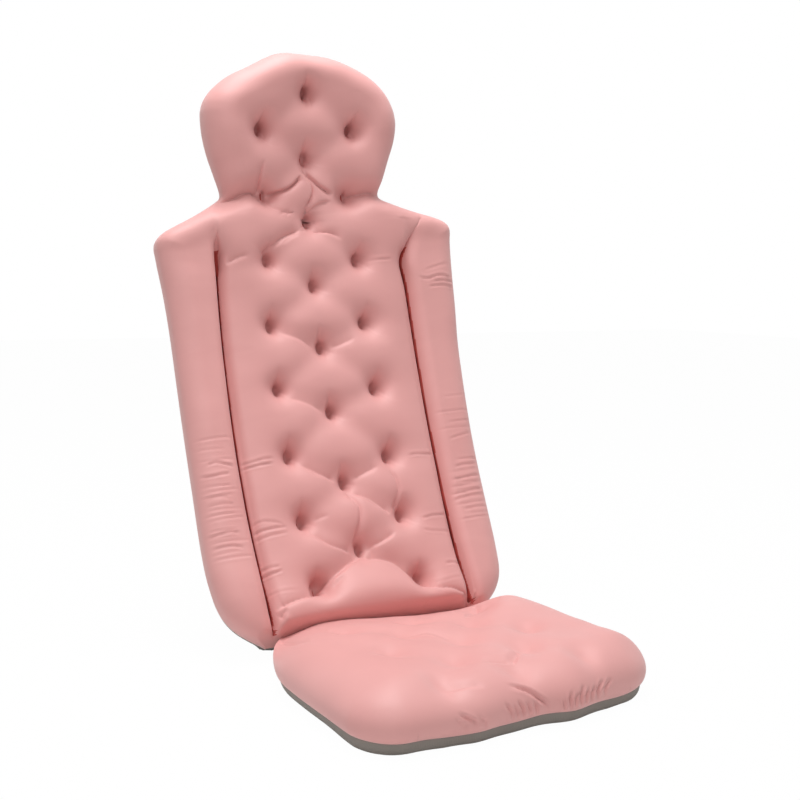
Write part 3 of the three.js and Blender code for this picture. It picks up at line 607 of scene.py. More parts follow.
# %% Folds of the back and head
SHARP_FOLDS = [
    (NECK["left"], 6, 2.2, 1.4, (0.15, 0.1)),
    (NECK["right"], 6, 1.4, 2.2, (0.15, 0.1)),
    ([(-8, 580), (-15, 571), (-28, 561), (-53, 553)], 7.5, 4.5, 1.0, (0.15, 0.1)),
    ([(0, 588), (6, 577), (18, 565), (38, 556)], 7.5, 1.0, 4.5, (0.15, 0.2)),
    ([(-61, 596), (-64, 572), (-60, 553)], 4, 1.2, 6, (0.4, 0.1)),
    ([(-7, 593), (-2, 583), (5, 569), (6, 555), (-1, 540), (-6, 530)], 6, 5, 1.3, (0.15, 0.25)),
    ([(-54, 541), (-38, 532), (-22, 528)], 4, 4, 2.2, (0.3, 0.4)),
    ([(-2, 527), (13, 541), (35, 548)], 4, 2.0, 5, (0.3, 0.3)),
    ([(-12, 511), (-17, 507), (-39, 496), (-57, 481), (-66, 470)], 7, 2.0, 8, (0.2, 0.1)),
    ([(-14, 504), (-30, 497), (-44, 487)], 2.5, 1.4, 2, (0.3, 0.3)),
    ([(3, 508), (26, 505), (43, 495)], 4.5, 5, 1.2, (0.15, 0.4)),
    ([(-131, 506), (-130, 487), (-129, 462)], 3.5, 7, 3, (0.4, 0)),
    ([(-120, 464), (-102, 472), (-84, 474)], 3, 4, 2, (0.2, 0.5)),
    ([(-60, 380), (-46, 373), (-30, 366), (-10, 354)], 3, 8, 2.5, (0.25, 0.2)),
    ([(7, 355), (24, 359), (46, 368)], 3, 8, 2.5, (0.2, 0.35)),
    ([(-60, 293), (-45, 289), (-24, 279), (-9, 270)], 3, 8, 2.5, (0.25, 0.2)),
    ([(-60, 211), (-48, 203), (-34, 194), (-12, 183)], 4.5, 6, 2.2, (0.3, 0.15)),
    ([(-50, 201), (-38, 193), (-25, 189)], 2, 3, 2, (0.4, 0.4)),
    ([(6, 182), (24, 189), (50, 199)], 3.5, 7, 2.5, (0.2, 0.35)),
    ([(-6, 170), (2, 160), (6, 143), (1, 120), (-6, 98)], 5, 4, 2.4, (0.15, 0.1)),
    ([(2, 168), (10, 165), (25, 156), (38, 145), (52, 134)], 5, 7, 2, (0.2, 0.2)),
    ([(10, 159), (26, 149), (40, 139)], 2, 3, 2, (0.4, 0.4)),
    ([(-64, 126), (-52, 114), (-38, 103), (-10, 93)], 5, 7, 2, (0.3, 0.1)),
    ([(-56, 136), (-43, 139), (-31, 140)], 2, 4, 2, (0.3, 0.5)),
    ([(4, 93), (14, 97), (28, 101), (50, 112)], 5, 7, 2, (0.15, 0.3)),
    ([(58, 199), (65, 184), (67, 167), (62, 147), (59, 138)], 4, 2.4, 5, (0.3, 0.1)),
    ([(-2, 87), (-14, 83), (-36, 71), (-56, 60), (-66, 54)], 8, 2, 11, (0.1, 0.05)),
    ([(-30, 66), (-45, 56), (-54, 47)], 2, 3, 3, (0.4, 0.3)),
    ([(-66, 51), (-80, 45), (-103, 40), (-119, 36), (-128, 33)], 6, 2, 8, (0.05, 0.15)),
    ([(2, 86), (16, 82), (36, 73), (50, 58), (60, 46)], 8, 11, 2, (0.1, 0.05)),
    ([(62, 44), (80, 33), (98, 28), (116, 18), (127, 2)], 6, 8, 2, (0.05, 0)),
    ([(-126, 20), (-121, 27), (-114, 33)], 3, 3, 3, (0.3, 0.4)),
]
print("sharp folds", len(SHARP_FOLDS))

# %% Wrinkles beside the seams
WRINKLES = [
    [(-133, 211), (-117, 213), (-99, 216), (-88, 216)], [(-133, 206), (-115, 208), (-90, 210)],
    [(-132, 136), (-120, 140), (-106, 138), (-90, 132)], [(-132, 126), (-121, 129), (-107, 130), (-88, 131)],
    [(-132, 118), (-117, 121), (-88, 124)], [(-132, 82), (-122, 84), (-109, 83)],
    [(-132, 75), (-121, 76), (-107, 78)], [(-132, 51), (-117, 53), (-88, 52)],
    [(88, 207), (102, 208), (130, 207)], [(86, 123), (104, 125), (128, 126)],
    [(83, 109), (100, 105), (128, 103)], [(100, 60), (110, 61), (126, 59)],
    [(72, 42), (89, 39), (124, 42)], [(73, 468), (91, 469), (111, 469)],
    [(-191, 200), (-177, 199), (-163, 200), (-151, 201)],
    [(-188, 163), (-178, 164), (-166, 164), (-152, 163)],
    [(-191, 127), (-178, 129), (-164, 130), (-151, 128)],
    [(-189, 113), (-175, 114), (-162, 113), (-149, 109)],
    [(-188, 171), (-175, 173), (-158, 171)], [(-183, 213), (-169, 215), (-157, 212), (-144, 208)],
    [(150, 224), (166, 228), (186, 233)], [(148, 186), (161, 188), (186, 190)],
    [(141, 169), (159, 171), (188, 175)], [(138, 160), (153, 160), (186, 165)],
    [(137, 150), (151, 151), (186, 156)], [(137, 141), (151, 144), (188, 147)],
    [(147, 128), (165, 130), (187, 131)], [(141, 446), (155, 443), (172, 447), (194, 444)],
    [(152, 453), (166, 457), (190, 462)], [(154, 433), (171, 435), (196, 433)],
    [(159, 439), (176, 441), (197, 440)],
]
FINE_WRINKLES = {-1: [219, 187, 182, 176, 159, 153, 148, 134, 120, 108, 101, 232, 246],
                 1: [262, 247, 239, 196, 180, 164, 155, 146, 136, 122, 116, 282]}
print("wrinkles", len(WRINKLES), "and fine ones", sum(len(places) for places in FINE_WRINKLES.values()))

# %% Press the folds into the cover
SEAM_WRAP, SEAM_BACK = 6.0, -9.0  # mm that the cover turns in and back to its seam with the grey backing
NECK_CREASE = 553  # mm up the pad: the tacks there lie in a crease of their own
SLIT_DEPTH, CREASE_RELIEF = 7.0, 4  # mm that a tack cuts in, and how much less it does in the crease
SEAM_DEPTH = 8  # mm of the narrow slot at the seams beside the panel
upper_net = upper.wrapped(height, SEAM_WRAP, SEAM_BACK)
upper_normal = net_normals(upper_net)
sunk = np.zeros(upper_net.shape[:2])


def press_upper(points, depth, left, right, fades, lip=0.0):
    line = upper.lift(points, upper.unwrapped(upper_net))
    press(upper_net, upper_normal, sunk, line, depth, left, right, lip, fades)


for fold in SHARP_FOLDS:
    press_upper(*fold)
for k, (x, v) in enumerate(back_tacks + head_tacks):
    drift = 3 * math.sin(2.1 * k)
    if abs(v - NECK_CREASE) > 5:
        valley = [(x, v - 3), (x + 0.5, v + 3), (x + drift, v + 16), (x + 2 * drift, v + 32)]
        press_upper(valley, 4.5, 2.5, 10.0, (0.1, 0.75))
    slit = [(x + 0.4, v - 7), (x - 0.4, v), (x + 0.4, v + 9)]
    press_upper(slit, SLIT_DEPTH - CREASE_RELIEF * bell(v - NECK_CREASE, 5), 1.2, 2.0, (0.35, 0.35))
for k, points in enumerate(WRINKLES):
    press_upper(points, 1.2 + 0.4 * math.sin(2.4 * k), 1.7, 0.9, (0.2, 0.2), 0.4)
for side, places in FINE_WRINKLES.items():
    for k, v in enumerate(places):
        rise = 1.2 * math.sin(1.9 * k) + 2.5 * (side > 0)
        points = [(side * 137, v - 1), (side * 152, v), (side * 172, v + rise / 2), (side * 187, v + rise),
                  (side * 193.2, v + rise)]
        press_upper(points[k % 2:], 0.75 + 0.25 * math.sin(2.7 * k), 1.4, 0.8, (0.2, 0.3), 0.4)
for line in seam_lines.values():
    press_upper(line[(line[:, 1] > 18) & (line[:, 1] < 474)], SEAM_DEPTH, 1.3, 1.3, (0.03, 0.06))
deepest = 0.6 * np.pad(height + 3, [(0, WRAP_STEPS), (WRAP_STEPS, WRAP_STEPS)], mode="edge").clip(0)
sunk = np.minimum(sunk, deepest)
print("folds up to", sunk.max().round(1), "mm")
upper_net = upper_net - upper_normal * sunk[..., None]
upper_cover = net_mesh("upper_front_cover", upper_net)

# %% [markdown]
# ## Seat cover
# The seat is one square cushion with rounded corners, filled so full that its thirteen tacks only make soft
# dimples. Its front edge shows short gathers where the cover is drawn into the seam.

# %% Outline and tacks of the seat
CORNER, CORNER_X, CORNER_V = 52, 129, -261  # mm: radius and middle of a front corner
corner = [(CORNER_X + CORNER * math.sin(turn), CORNER_V - CORNER * math.cos(turn))
          for turn in np.linspace(math.pi / 2, 0, 8)]
SEAT_LINE = [(124, 4), (137, -10), (150, -26), (160, -44), (169, -68), (176, -98), (179.5, -128), (181, -170),
             (181, -215), *corner]
SEAT_FRONT = -313.0
SEAM_INSET = 5.5  # mm from the widest line in to the seam
front_rows = SEAT_FRONT + edge_steps(34, 26)
seat_rows = np.concatenate([front_rows, np.arange(SEAT_FRONT + 36, -24, 1.8), np.arange(-24, 0.5, 1.2)])
seat = Pad(SEAT_LINE, on_seat, seat_rows)
seat_tacks = [(42.0 * step, -284.0 + 48.0 * k) for k in range(5) for step in ([-2, 0, 2], [-1, 1])[k % 2]]
print("seat net", seat.x.shape, "tacks", len(seat_tacks))

# %% Stuffed height of the seat
SEAT_CROWN = 47  # mm in the middle of the seat
SEAT_EDGE = 54.0  # mm over which the seat rounds off to its edge
x, v = seat.x, seat.vv
seat_crown = contact(x) + (SEAT_CROWN - contact(x)) * ease(-v, -20, 150 - 70 * ease(x, 60, 140))
seat_valleys = 3 * (1 - quilting(x, v, seat_tacks, 18))
seat_height = seat_crown - seat_valleys - dimples(x, v, seat_tacks, 6.5, 15) + 1.6 * lumps(x, v, 46, 5)
seat_height = WIDEST + (seat_height - WIDEST) * dome(seat.gap, SEAT_EDGE)
seat_height = lower_of(seat_height, -FOLD_SLOPE * v - BEARING, 1.5)
print("seat height", seat_height.min().round(1), seat_height.max().round(1))

# %% [markdown]
# The seat's folds are few and shallow on top. At its front the cover is gathered into the seam: short creases
# rise from the seam and run out upwards. They are given as x and the height over the seam, how deep they are
# and how wide, and they are looked up on the curved front, where the flat pattern would crowd them.

# %% Folds of the seat
SEAT_FOLDS = [
    ([(100, -60), (92, -74), (86, -88)], 3, 3, 2, (0.3, 0.1)),
    ([(80, -96), (64, -104), (52, -118)], 3, 4, 2, (0.2, 0.3)),
    ([(-42, -140), (-20, -150), (-4, -178)], 2, 5, 2, (0.3, 0.3)),
    ([(36, -240), (20, -254), (6, -270)], 3.5, 2, 4, (0.15, 0.2)),
    ([(-22, -258), (-8, -262), (8, -266)], 2, 6, 2, (0.4, 0.2)),
    ([(-86, -284), (-66, -290), (-44, -296)], 2, 5, 2, (0.3, 0.3)),
]
FRONT_FOLDS = [
    ([(-22, 32), (-6, 26), (4, 17), (12, 11), (17, 1)], 3.0, 2.0),
    ([(-85, 14), (-80, 7), (-76, 1)], 1.4, 1.8), ([(-76, 18), (-71, 9), (-67, 1)], 2.0, 2.0),
    ([(-64, 14), (-60, 7), (-57, 0)], 1.6, 1.8), ([(-30, 20), (-27, 10), (-24, 1)], 2.2, 1.6),
    ([(-23, 17), (-20, 9), (-18, 1)], 1.6, 1.4), ([(-17, 20), (-14, 10), (-11, 1)], 2.4, 1.6),
    ([(-9, 18), (-6, 9), (-4, 1)], 1.8, 1.4), ([(-1, 18), (2, 9), (4, 1)], 2.2, 1.6),
    ([(29, 14), (32, 7), (34, 1)], 1.8, 1.4), ([(36, 20), (39, 10), (42, 1)], 2.4, 1.6),
    ([(43, 18), (46, 9), (48, 1)], 1.8, 1.4), ([(48, 22), (52, 11), (55, 2)], 2.6, 1.8),
    ([(57, 18), (60, 9), (62, 2)], 2.0, 1.5), ([(66, 18), (68, 9), (70, 2)], 1.8, 1.5),
    ([(75, 20), (77, 11), (79, 3)], 2.2, 1.7), ([(86, 19), (88, 11), (89, 4)], 1.6, 1.8),
]
print("seat folds", len(SEAT_FOLDS), "gathers", len(FRONT_FOLDS))


# %% Press the folds into the seat
FRONT_ROWS = 70  # rows of the net that cover the seat's front
OVER_SEAM = 3.0  # mm from the seam to the foot of a gather


def seam_wave(x):
    """The seat's seam isn't ruled: it rises and falls a little as the filling pushes."""
    return 1.1 * np.sin(x / 29 + 0.6) + 0.6 * np.sin(x / 11)


seam_x = np.pad(seat.x, [(WRAP_STEPS, 0), (WRAP_STEPS, WRAP_STEPS)], mode="edge")
seat_net = seat.wrapped(seat_height, SEAM_INSET, seam_wave(seam_x))
seat_normal = net_normals(seat_net)
sunk = np.zeros(seat_net.shape[:2])


def on_front(x, h):
    """The place on the seat cover's front, at a height above the seam."""
    column = seat_net[:FRONT_ROWS, np.argmin(np.abs(seat_net[WRAP_STEPS, :, 0] - x))]
    return [np.interp(h + SEAM_HEIGHT, column[:, 2], column[:, k]) for k in range(3)]


for points, depth, left, right, fades in SEAT_FOLDS:
    line = seat.lift(points, seat.unwrapped(seat_net))
    press(seat_net, seat_normal, sunk, line, depth, left, right, 0.25, fades)
for points, depth, width in FRONT_FOLDS:
    line = smooth_line([on_front(x, h + OVER_SEAM) for x, h in points])
    press(seat_net, seat_normal, sunk, line, 1.6 * depth, 0.8 * width, 1.2 * width, 0.25, (0.4, 0.3))
seat_net = seat_net - seat_normal * sunk[..., None]
seat_cover = net_mesh("seat_cover", seat_net)
print("seat folds up to", sunk.max().round(1), "mm")

# %% [markdown]
# ## Backings
# Behind, a grey knit closes the pads. It starts at the seam where the pink cover ends, turns over a small
# edge and lies nearly flat, round behind the bolsters. Low on the back it bulges to the floor: the filling
# settles there and makes the heel that the pillow stands on. Each tack pulls a shallow dimple.

# %% Backing of the back and head
NET_STEP = 3.0  # mm between the rows and columns of a plain backing
SEAM_X = 131  # mm from the middle to the side seams, which draw the backing in too
REAR_EDGE = 24.0  # mm of crowded columns at each side
crown_end = LENGTH - 3
rear_rows = np.concatenate([
    edge_steps(16, 8)[:-1], np.arange(16, LENGTH - 22, NET_STEP), (crown_end - edge_steps(18, 14))[::-1]])
rear = Pad(UPPER_LINE, on_back, rear_rows, inset=SEAM_WRAP, across=NET_STEP, edge=REAR_EDGE)
x, v = rear.x, rear.vv
bolster = ease(np.abs(x), 124, 146) * (1 - ease(v, 500, 545))
heel = 34 * bell(np.maximum(v - 8, 0), 62)
depth = (12 + heel) * (1 - bolster) + (25 + heel / 3) * bolster
for side in (-1, 1):
    depth -= 5 * bell(np.abs(x - side * SEAM_X), 7) * (1 - ease(v, 480, 520)) * ease(v, 12, 40)
depth -= 4.5 * bell(v - 572, 6) * ease(122 - np.abs(x), 0, 12)
depth += 0.8 * lumps(x, v, 38, 21)
depth -= dimples(x, v, back_tacks + head_tacks, 4.5, 15)
from_waist = ease(v, -2, 9)
rear_height = SEAM_BACK * from_waist - (depth + SEAM_BACK) * dome(rear.gap, 18 + 16 * bolster) * from_waist
rear_net = on_back(x, v, rear_height)
over_floor = rear_net[..., 2]
on_floor = 0.4 + 0.6 * np.tanh(np.maximum(over_floor, 0) / 3)  # the heel flattens where it stands
rear_net[..., 2] = np.maximum(over_floor, on_floor)
upper_backing = net_mesh("upper_backing", rear_net, flip=True)
print("deepest", depth.max().round(1), "mm behind the seams")

# %% Backing of the seat
UNDER_DEPTH = 11.6  # mm from the seam down to the flat underside
under_front = SEAT_FRONT + SEAM_INSET + edge_steps(14, 10)[:-1]
under_rows = np.concatenate([under_front, np.arange(-290, -14, NET_STEP), -edge_steps(14, 8)[::-1]])
under = Pad(SEAT_LINE, on_seat, under_rows, inset=SEAM_INSET, across=NET_STEP, edge=14.0)
x, v = under.x, under.vv
turned = dome(under.gap, 4 + 4 * ease(v, -260, -200)) * ease(-v, -2, 9)
under_height = seam_wave(x) * (1 - ease(under.gap, 0, 12)) - UNDER_DEPTH * turned
under_height = np.maximum(under_height, 0.3 - SEAM_HEIGHT)
seat_backing = net_mesh("seat_backing_cloth", on_seat(x, v, under_height), flip=True)
print("underside", (under_height.min() + SEAM_HEIGHT).round(1), "mm over the floor")

# %% [markdown]
# ## Bar tacks
# A bar tack is a short bar of thread, laid to and fro through the whole pad. Here each is a flattened bar
# with the ridges of its wraps, which lies at the bottom of its slit. The seat's bars lie under its cover,
# since its tacks only show as soft dimples.

# %% Thread bars
BAR = {"length": 11.5, "width": 2.2, "thick": 1.2}  # mm
RINGS, SIDES = 33, 10
HALF_WAVES, RIDGE = 20, 0.16  # of the wraps along a bar, and how much they stand out


def bar(points, faces, place, x, v, h):
    """Adds one wrapped bar of thread to a list of points and faces."""
    start = len(points)
    for i in range(RINGS):
        share = i / (RINGS - 1)
        along = (share - 0.5) * BAR["length"]
        ridge = 1 + RIDGE * math.cos(share * math.pi * HALF_WAVES)
        swell = math.sqrt(max(1 - abs(2 * share - 1) ** 4, 0.02)) * ridge
        for k in range(SIDES):
            turn = 2 * math.pi * k / SIDES
            points.append(place(x + BAR["width"] / 2 * swell * math.cos(turn), v + along,
                                h + BAR["thick"] / 2 * (1 + swell * math.sin(turn))))
    for i in range(RINGS - 1):
        for k in range(SIDES):
            a, b = start + i * SIDES + k, start + i * SIDES + (k + 1) % SIDES
            faces.append((a, b, b + SIDES, a + SIDES))
    faces.append(tuple(start + k for k in reversed(range(SIDES))))
    faces.append(tuple(start + (RINGS - 1) * SIDES + k for k in range(SIDES)))


def thread_piece(name, tacks, place, floor):
    points, faces = [], []
    for x, v in tacks:
        bar(points, faces, place, x, v, floor)
    mesh = bpy.data.meshes.new(name)
    mesh.from_pydata([(p * MM).tolist() for p in points], [], faces)
    mesh.polygons.foreach_set("use_smooth", [True] * len(faces))
    print(name, len(tacks), "tacks")
    return put(name, mesh)


BACK_TACK_FLOOR, SEAT_TACK_FLOOR = -0.4, 27.0  # mm over the seams, where the rigid model has them
back_threads = thread_piece("back_tack_thread", back_tacks, on_back, BACK_TACK_FLOOR)
head_threads = thread_piece("head_tack_thread", head_tacks, on_back, BACK_TACK_FLOOR)
seat_threads = thread_piece("seat_tack_thread", seat_tacks, on_seat, SEAT_TACK_FLOOR)

# %% [markdown]
# ## Straps of the suction cups
# Behind, each suction cup hangs by its button under a short band of the same satin, sewn down at both ends.
# A band is a rounded strip swept across the pad, which lifts over the button in the middle.

# %% Straps
STRAP_HALF, STRAP_WIDE, STRAP_THICK = 23, 10, 0.6  # mm: half of its length, width and thickness
ON_BACKING, BRIDGE = 13.1, 2.5  # mm behind the seams, and its rise over the button
CUP_PLACES = (("back", 72.0, 430.0), ("head", 62.0, 652.0))


def rounded(wave):
    """A sine or cosine that stays near 1 for longer, which turns a circle into a rounded rectangle."""
    return np.sign(wave) * np.abs(wave) ** 0.35


def strap_piece(name, across, up_pad):
    """A flat band, sewn down at both ends, which bridges the button of a cup."""
    along = np.linspace(-STRAP_HALF, STRAP_HALF, 47)[:, None]
    turn = np.linspace(0, 2 * math.pi, 33)[None, :]
    wide, thick = STRAP_WIDE * rounded(np.sin(turn)), STRAP_THICK * rounded(np.cos(turn))
    depth = ON_BACKING + BRIDGE * (1 - ease(np.abs(along), 9, 15))
    return net_mesh(name, on_back(across + along, up_pad + wide, -(depth + thick)))


straps = {f"{pad}_{side}_strap": strap_piece(f"{pad}_{side}_strap_band", sign * across, up_pad)
          for pad, across, up_pad in CUP_PLACES for side, sign in (("left", -1), ("right", 1))}

# %% [markdown]
# ## Materials
# Every finish starts from what the real thing is. Colours are written as sRGB hex, as a dyer's chart gives
# them, and turned to linear by one function; pattern scales come from real sizes in millimetres.

# %% Colour and node helpers
def linear(text):
    parts = [int(text[k:k + 2], 16) / 255 for k in (1, 3, 5)]
    return tuple(c / 12.92 if c <= 0.04045 else ((c + 0.055) / 1.055) ** 2.4 for c in parts) + (1.0,)


def add(tree, kind, inputs=None, **settings):
    """Adds a node; an input is a value or another node's output."""
    made = tree.nodes.new(kind)
    for name, value in settings.items():
        setattr(made, name, value)
    for name, value in (inputs or {}).items():
        if isinstance(value, bpy.types.NodeSocket):
            tree.links.new(value, made.inputs[name])
        else:
            made.inputs[name].default_value = value
    return made


def new_material(name, **values):
    made = bpy.data.materials.new(name)
    made.use_nodes = True
    shader = made.node_tree.nodes["Principled BSDF"]
    for socket, value in values.items():
        shader.inputs[socket.replace("_", " ")].default_value = value
    return made, made.node_tree, shader


print("middle grey, linear", round(linear("#808080")[0], 3))

# %% [markdown]
# The pink is a weft-knit polyester with a satin face, stretched over the filling. The threads are about
# 0.2 mm apart, far too fine for this view, so the rib is drawn 1.5 mm apart and very low. A sheen stands for
# the fibre ends that light up at grazing angles, and the dye varies a little over a hand's width. The grey is
# a brushed warp knit: duller, with wales drawn 1.8 mm apart and a deeper nap, so it shows no highlight.

# %% Stretch satin and grey knit
DYE_PATCH = 0.09  # metres across a patch of darker or lighter dye
WAVES_PER_UNIT = math.tau / 20  # of the wave texture at scale 1


def cloth(name, dark, light, roughness, rib_mm, rib_depth, fuzz):
    """A knit in two close shades, with ribs so many mm apart and deep, and a fuzz of so many mm."""
    made, tree, shader = new_material(name, Roughness=roughness, Sheen_Weight=0.15, Sheen_Roughness=0.5,
                                      Specular_IOR_Level=0.4)
    uv = add(tree, "ShaderNodeUVMap", uv_map="pattern").outputs["UV"]
    patches = add(tree, "ShaderNodeTexNoise", {"Vector": uv, "Scale": 1 / DYE_PATCH, "Detail": 3.0})
    colour = add(tree, "ShaderNodeMix", {"Factor": patches.outputs["Fac"]}, data_type="RGBA")
    colour.inputs[6].default_value = linear(dark)
    colour.inputs[7].default_value = linear(light)
    tree.links.new(colour.outputs[2], shader.inputs["Base Color"])
    rib = add(tree, "ShaderNodeTexWave", {
        "Vector": uv, "Scale": WAVES_PER_UNIT / (rib_mm * MM), "Distortion": 0.6, "Detail": 1.0,
        "Detail Scale": 2.0}, bands_direction="X")
    grain = add(tree, "ShaderNodeTexNoise", {"Vector": uv, "Scale": 1 / (fuzz * MM), "Detail": 2.0})
    both = add(tree, "ShaderNodeMath", {0: rib.outputs["Fac"], 1: grain.outputs["Fac"]}, operation="ADD")
    bump = add(tree, "ShaderNodeBump", {
        "Height": both.outputs[0], "Strength": 0.35, "Distance": rib_depth * MM})
    tree.links.new(bump.outputs["Normal"], shader.inputs["Normal"])
    print(name, "ribs", rib_mm, "mm apart")
    return made


satin = cloth("stretch_satin_knit", "#DA9B98", "#E5A9A6", 0.5, 1.5, 0.06, 0.9)
knit = cloth("grey_backing_knit", "#857F79", "#98918A", 0.85, 1.8, 0.2, 1.1)
for piece in (upper_cover, seat_cover, *straps.values()):
    piece.data.materials.append(satin)
for piece in (upper_backing, seat_backing):
    piece.data.materials.append(knit)

# %% [markdown]
# The sewing thread is twisted polyester, a deeper red than the cloth and a little glossy. It makes the bar
# tacks, and a band of it also lies at the bottom of the two side seams, so the faces there take it instead of
# satin. That band is partly the seams' thread and partly painted shade: its deep red stands for the dark,
# reddened shade deep in the narrow grooves.

# %% Thread, and painted shade at the bottom of the side seams
SHADED_SEAM_BESIDE = 1.6  # mm to each side of the seam line
SHADED_SEAM_FROM, SHADED_SEAM_TO = 8, 484  # mm up the pad
# The thread's deep red also serves as the painted shade at the bottom of the seam grooves.
thread, _, _ = new_material("polyester_thread_and_seam_shade", Base_Color=linear("#B9544D"), Roughness=0.5)
for piece in (back_threads, head_threads, seat_threads):
    piece.data.materials.append(thread)
# Faces within a band along each seam line take the thread: partly seam thread, partly painted shade in the
# groove.
seam_thread_and_shade = np.zeros(upper_net.shape[:2], bool)
in_reach = (upper.vv > SHADED_SEAM_FROM) & (upper.vv < SHADED_SEAM_TO)
for line in seam_lines.values():
    unwrapped = upper.unwrapped(seam_thread_and_shade)
    unwrapped |= (beside(line, upper.x, upper.vv)[0] < SHADED_SEAM_BESIDE) & in_reach
upper_cover.data.materials.append(thread)
upper_cover.data.polygons.foreach_set("material_index", seam_thread_and_shade[:-1, :-1].ravel().astype(np.int32))
print("faces of seam thread", int(seam_thread_and_shade.sum()))

# %% [markdown]
# The cups are soft clear PVC, injection moulded: nearly all light goes through, the surface is smooth with a
# faint haze, and the index of refraction is that of vinyl. They keep the rigid model's own shape.

# %% Suction cups of clear vinyl
vinyl, vinyl_tree, vinyl_shader = new_material(
    "clear_soft_vinyl", Base_Color=linear("#E6ECEC"), Roughness=0.12, Transmission_Weight=0.9, IOR=1.53)
haze = add(vinyl_tree, "ShaderNodeTexNoise", {"Scale": 120.0, "Detail": 2.0})
haze_bump = add(vinyl_tree, "ShaderNodeBump", {
    "Height": haze.outputs["Fac"], "Strength": 0.15, "Distance": 0.0002})
vinyl_tree.links.new(haze_bump.outputs["Normal"], vinyl_shader.inputs["Normal"])
for node, piece in frame["nodes"].items():
    piece.data.materials.clear()
    piece.data.materials.append(vinyl if node.endswith("_cup") else knit)
    for face in piece.data.polygons:
        face.use_smooth = node.endswith("_cup")
print("cups", sum(node.endswith("_cup") for node in frame["nodes"]))

# %% [markdown]
# ## Riding on the bodies
# The back and head cover crosses the neck fold, and so does its backing; both stay in the model's own frame,
# on neither body. Every other piece rides on one body, and the plain solids that the pieces stand for are
# hidden.

# %% Bodies
def neck_blend(piece):
    start, end = (Vector(on_back(0.0, v, 0.0) * MM) for v in (540.0, 600.0))
    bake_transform(piece)


neck_blend(upper_cover)
neck_blend(upper_backing)
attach(seat_cover, "seat")
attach(seat_backing, "seat")
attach(back_threads, "back")
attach(head_threads, "head")
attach(seat_threads, "seat")
for node, piece in straps.items():
    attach(piece, node.split("_")[0])

# %% Solids that the pieces stand for
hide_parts("back_panel_cover", "left_bolster_cover", "right_bolster_cover", "head_front_cover",
            "back_panel_filling", "left_bolster_filling", "right_bolster_filling", "head_filling")
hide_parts("back_backing", "head_backing", "neck_seam")
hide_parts("seat_front_cover", "seat_filling")
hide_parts("seat_backing", "waist_seam")
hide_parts(*[f"back_tack_{k + 1}" for k in range(len(back_tacks))])
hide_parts(*[f"head_tack_{k + 1}" for k in range(len(head_tacks))])
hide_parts(*[f"seat_tack_{k + 1}" for k in range(len(seat_tacks))])
for node, piece in straps.items():
    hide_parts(node)
print("tacks replaced", len(back_tacks) + len(head_tacks) + len(seat_tacks))

# %% The two covers
print("padded pieces", upper_cover.name, seat_cover.name)

# %% [markdown]
# ## Camera, light and floor
# The camera stands low and to the left, at the photograph's angle. One wide soft light high over the pad
# models the mounds, a weaker one from the front left fills the shadows, and a pale world does the rest.

# %% Camera
camera_data = bpy.data.cameras.new("camera")
camera_data.lens = 54.0
camera_data.sensor_width = 36.0
camera = put("camera", camera_data)
scene.camera = camera
right = Vector((0.86529, -0.50109, 0.01376))
up = Vector((0.04166, 0.09925, 0.99419))
back = right.cross(up).normalized()
up = back.cross(right)
eye = Vector((-0.6607, waist_y * MM - 1.1889, 0.4294))
camera.matrix_world = Matrix.Translation(eye) @ Matrix((right, up, back)).transposed().to_4x4()
print("camera at", [round(c, 3) for c in eye])


# %% Lights
def area_light(name, at, target, size, watts):
    data = bpy.data.lights.new(name, "AREA")
    data.shape = "RECTANGLE"
    data.size, data.size_y = size
    data.energy = watts
    lamp = put(name, data)
    lamp.location = at
    lamp.rotation_euler = (Vector(target) - Vector(at)).to_track_quat("-Z", "Y").to_euler()
    print(name, watts, "W")


area_light("top_softbox", at=(-0.1, 0.12, 2.1), target=(0, 0.05, 0.3), size=(1.2, 1.1), watts=36.5)
area_light("front_fill", at=(-0.7, -1.2, 1.6), target=(0, 0.2, 0.6), size=(1.2, 1.2), watts=7)

# %% [markdown]
# The white background lights nothing: rays that come from the camera, or by way of a glossy or a clear
# surface, see plain white, and all other rays meet the world's pale light and the floor's matt paper. So the
# object is lit plainly, the floor keeps a soft shadow, and the page round it stays white.

# %% World
AMBIENT = 0.33


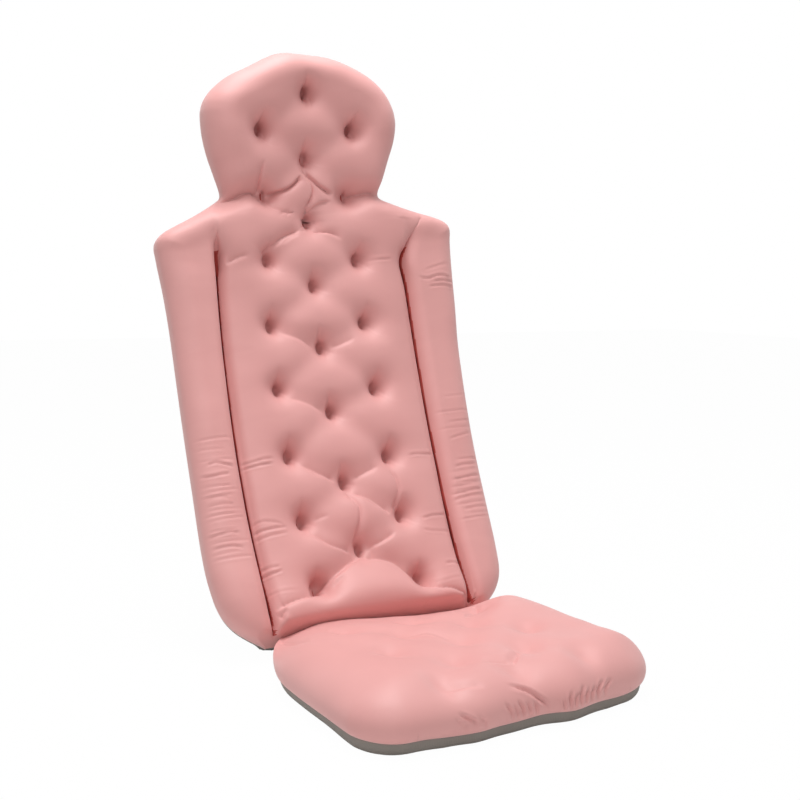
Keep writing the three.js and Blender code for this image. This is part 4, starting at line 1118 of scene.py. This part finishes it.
def background_rays(tree, *kinds):
    """1 for the kinds of rays that see the plain background."""
    path = add(tree, "ShaderNodeLightPath")
    seen = path.outputs[kinds[0]]
    for kind in kinds[1:]:
        seen = add(tree, "ShaderNodeMath", {0: seen, 1: path.outputs[kind]}, operation="MAXIMUM").outputs[0]
    return seen


world = bpy.data.worlds.new("studio")
scene.world = world
world.use_nodes = True
tree = world.node_tree
tree.nodes.clear()
seen = background_rays(tree, "Is Camera Ray", "Is Glossy Ray", "Is Transmission Ray")
ambient = add(tree, "ShaderNodeBackground", {"Color": linear("#F4F2F0"), "Strength": AMBIENT})
white = add(tree, "ShaderNodeBackground", {"Color": (1, 1, 1, 1), "Strength": 1.0})
mixed = add(tree, "ShaderNodeMixShader", {0: seen, 1: ambient.outputs[0], 2: white.outputs[0]})
add(tree, "ShaderNodeOutputWorld", {"Surface": mixed.outputs[0]})
print("ambient", AMBIENT)

# %% Floor
FLOOR_HALF = 6  # metres
GLOW_SHARE = 0.985  # of white; the rest of the paper shows the shadow
floor_mesh = bpy.data.meshes.new("floor")
floor_corners = [(side_x * FLOOR_HALF, side_y * FLOOR_HALF, 0) for side_x, side_y in
                 ((-1, -1), (1, -1), (1, 1), (-1, 1))]
floor_mesh.from_pydata(floor_corners, [], [(0, 1, 2, 3)])
floor = put("floor", floor_mesh)
paper = bpy.data.materials.new("white_studio_paper")
paper.use_nodes = True
tree = paper.node_tree
tree.nodes.clear()
seen = background_rays(tree, "Is Camera Ray", "Is Glossy Ray")
glowing = add(tree, "ShaderNodeMath", {0: seen, 1: GLOW_SHARE}, operation="MULTIPLY")
matt = add(tree, "ShaderNodeBsdfDiffuse", {"Color": (0.86, 0.86, 0.855, 1)})
glow = add(tree, "ShaderNodeEmission", {"Color": (1, 1, 1, 1), "Strength": 1.0})
mixed = add(tree, "ShaderNodeMixShader", {0: glowing.outputs[0], 1: matt.outputs[0], 2: glow.outputs[0]})
add(tree, "ShaderNodeOutputMaterial", {"Surface": mixed.outputs[0]})
floor_mesh.materials.append(paper)
scene.view_settings.view_transform = "Standard"
print("floor", 2 * FLOOR_HALF, "m across")
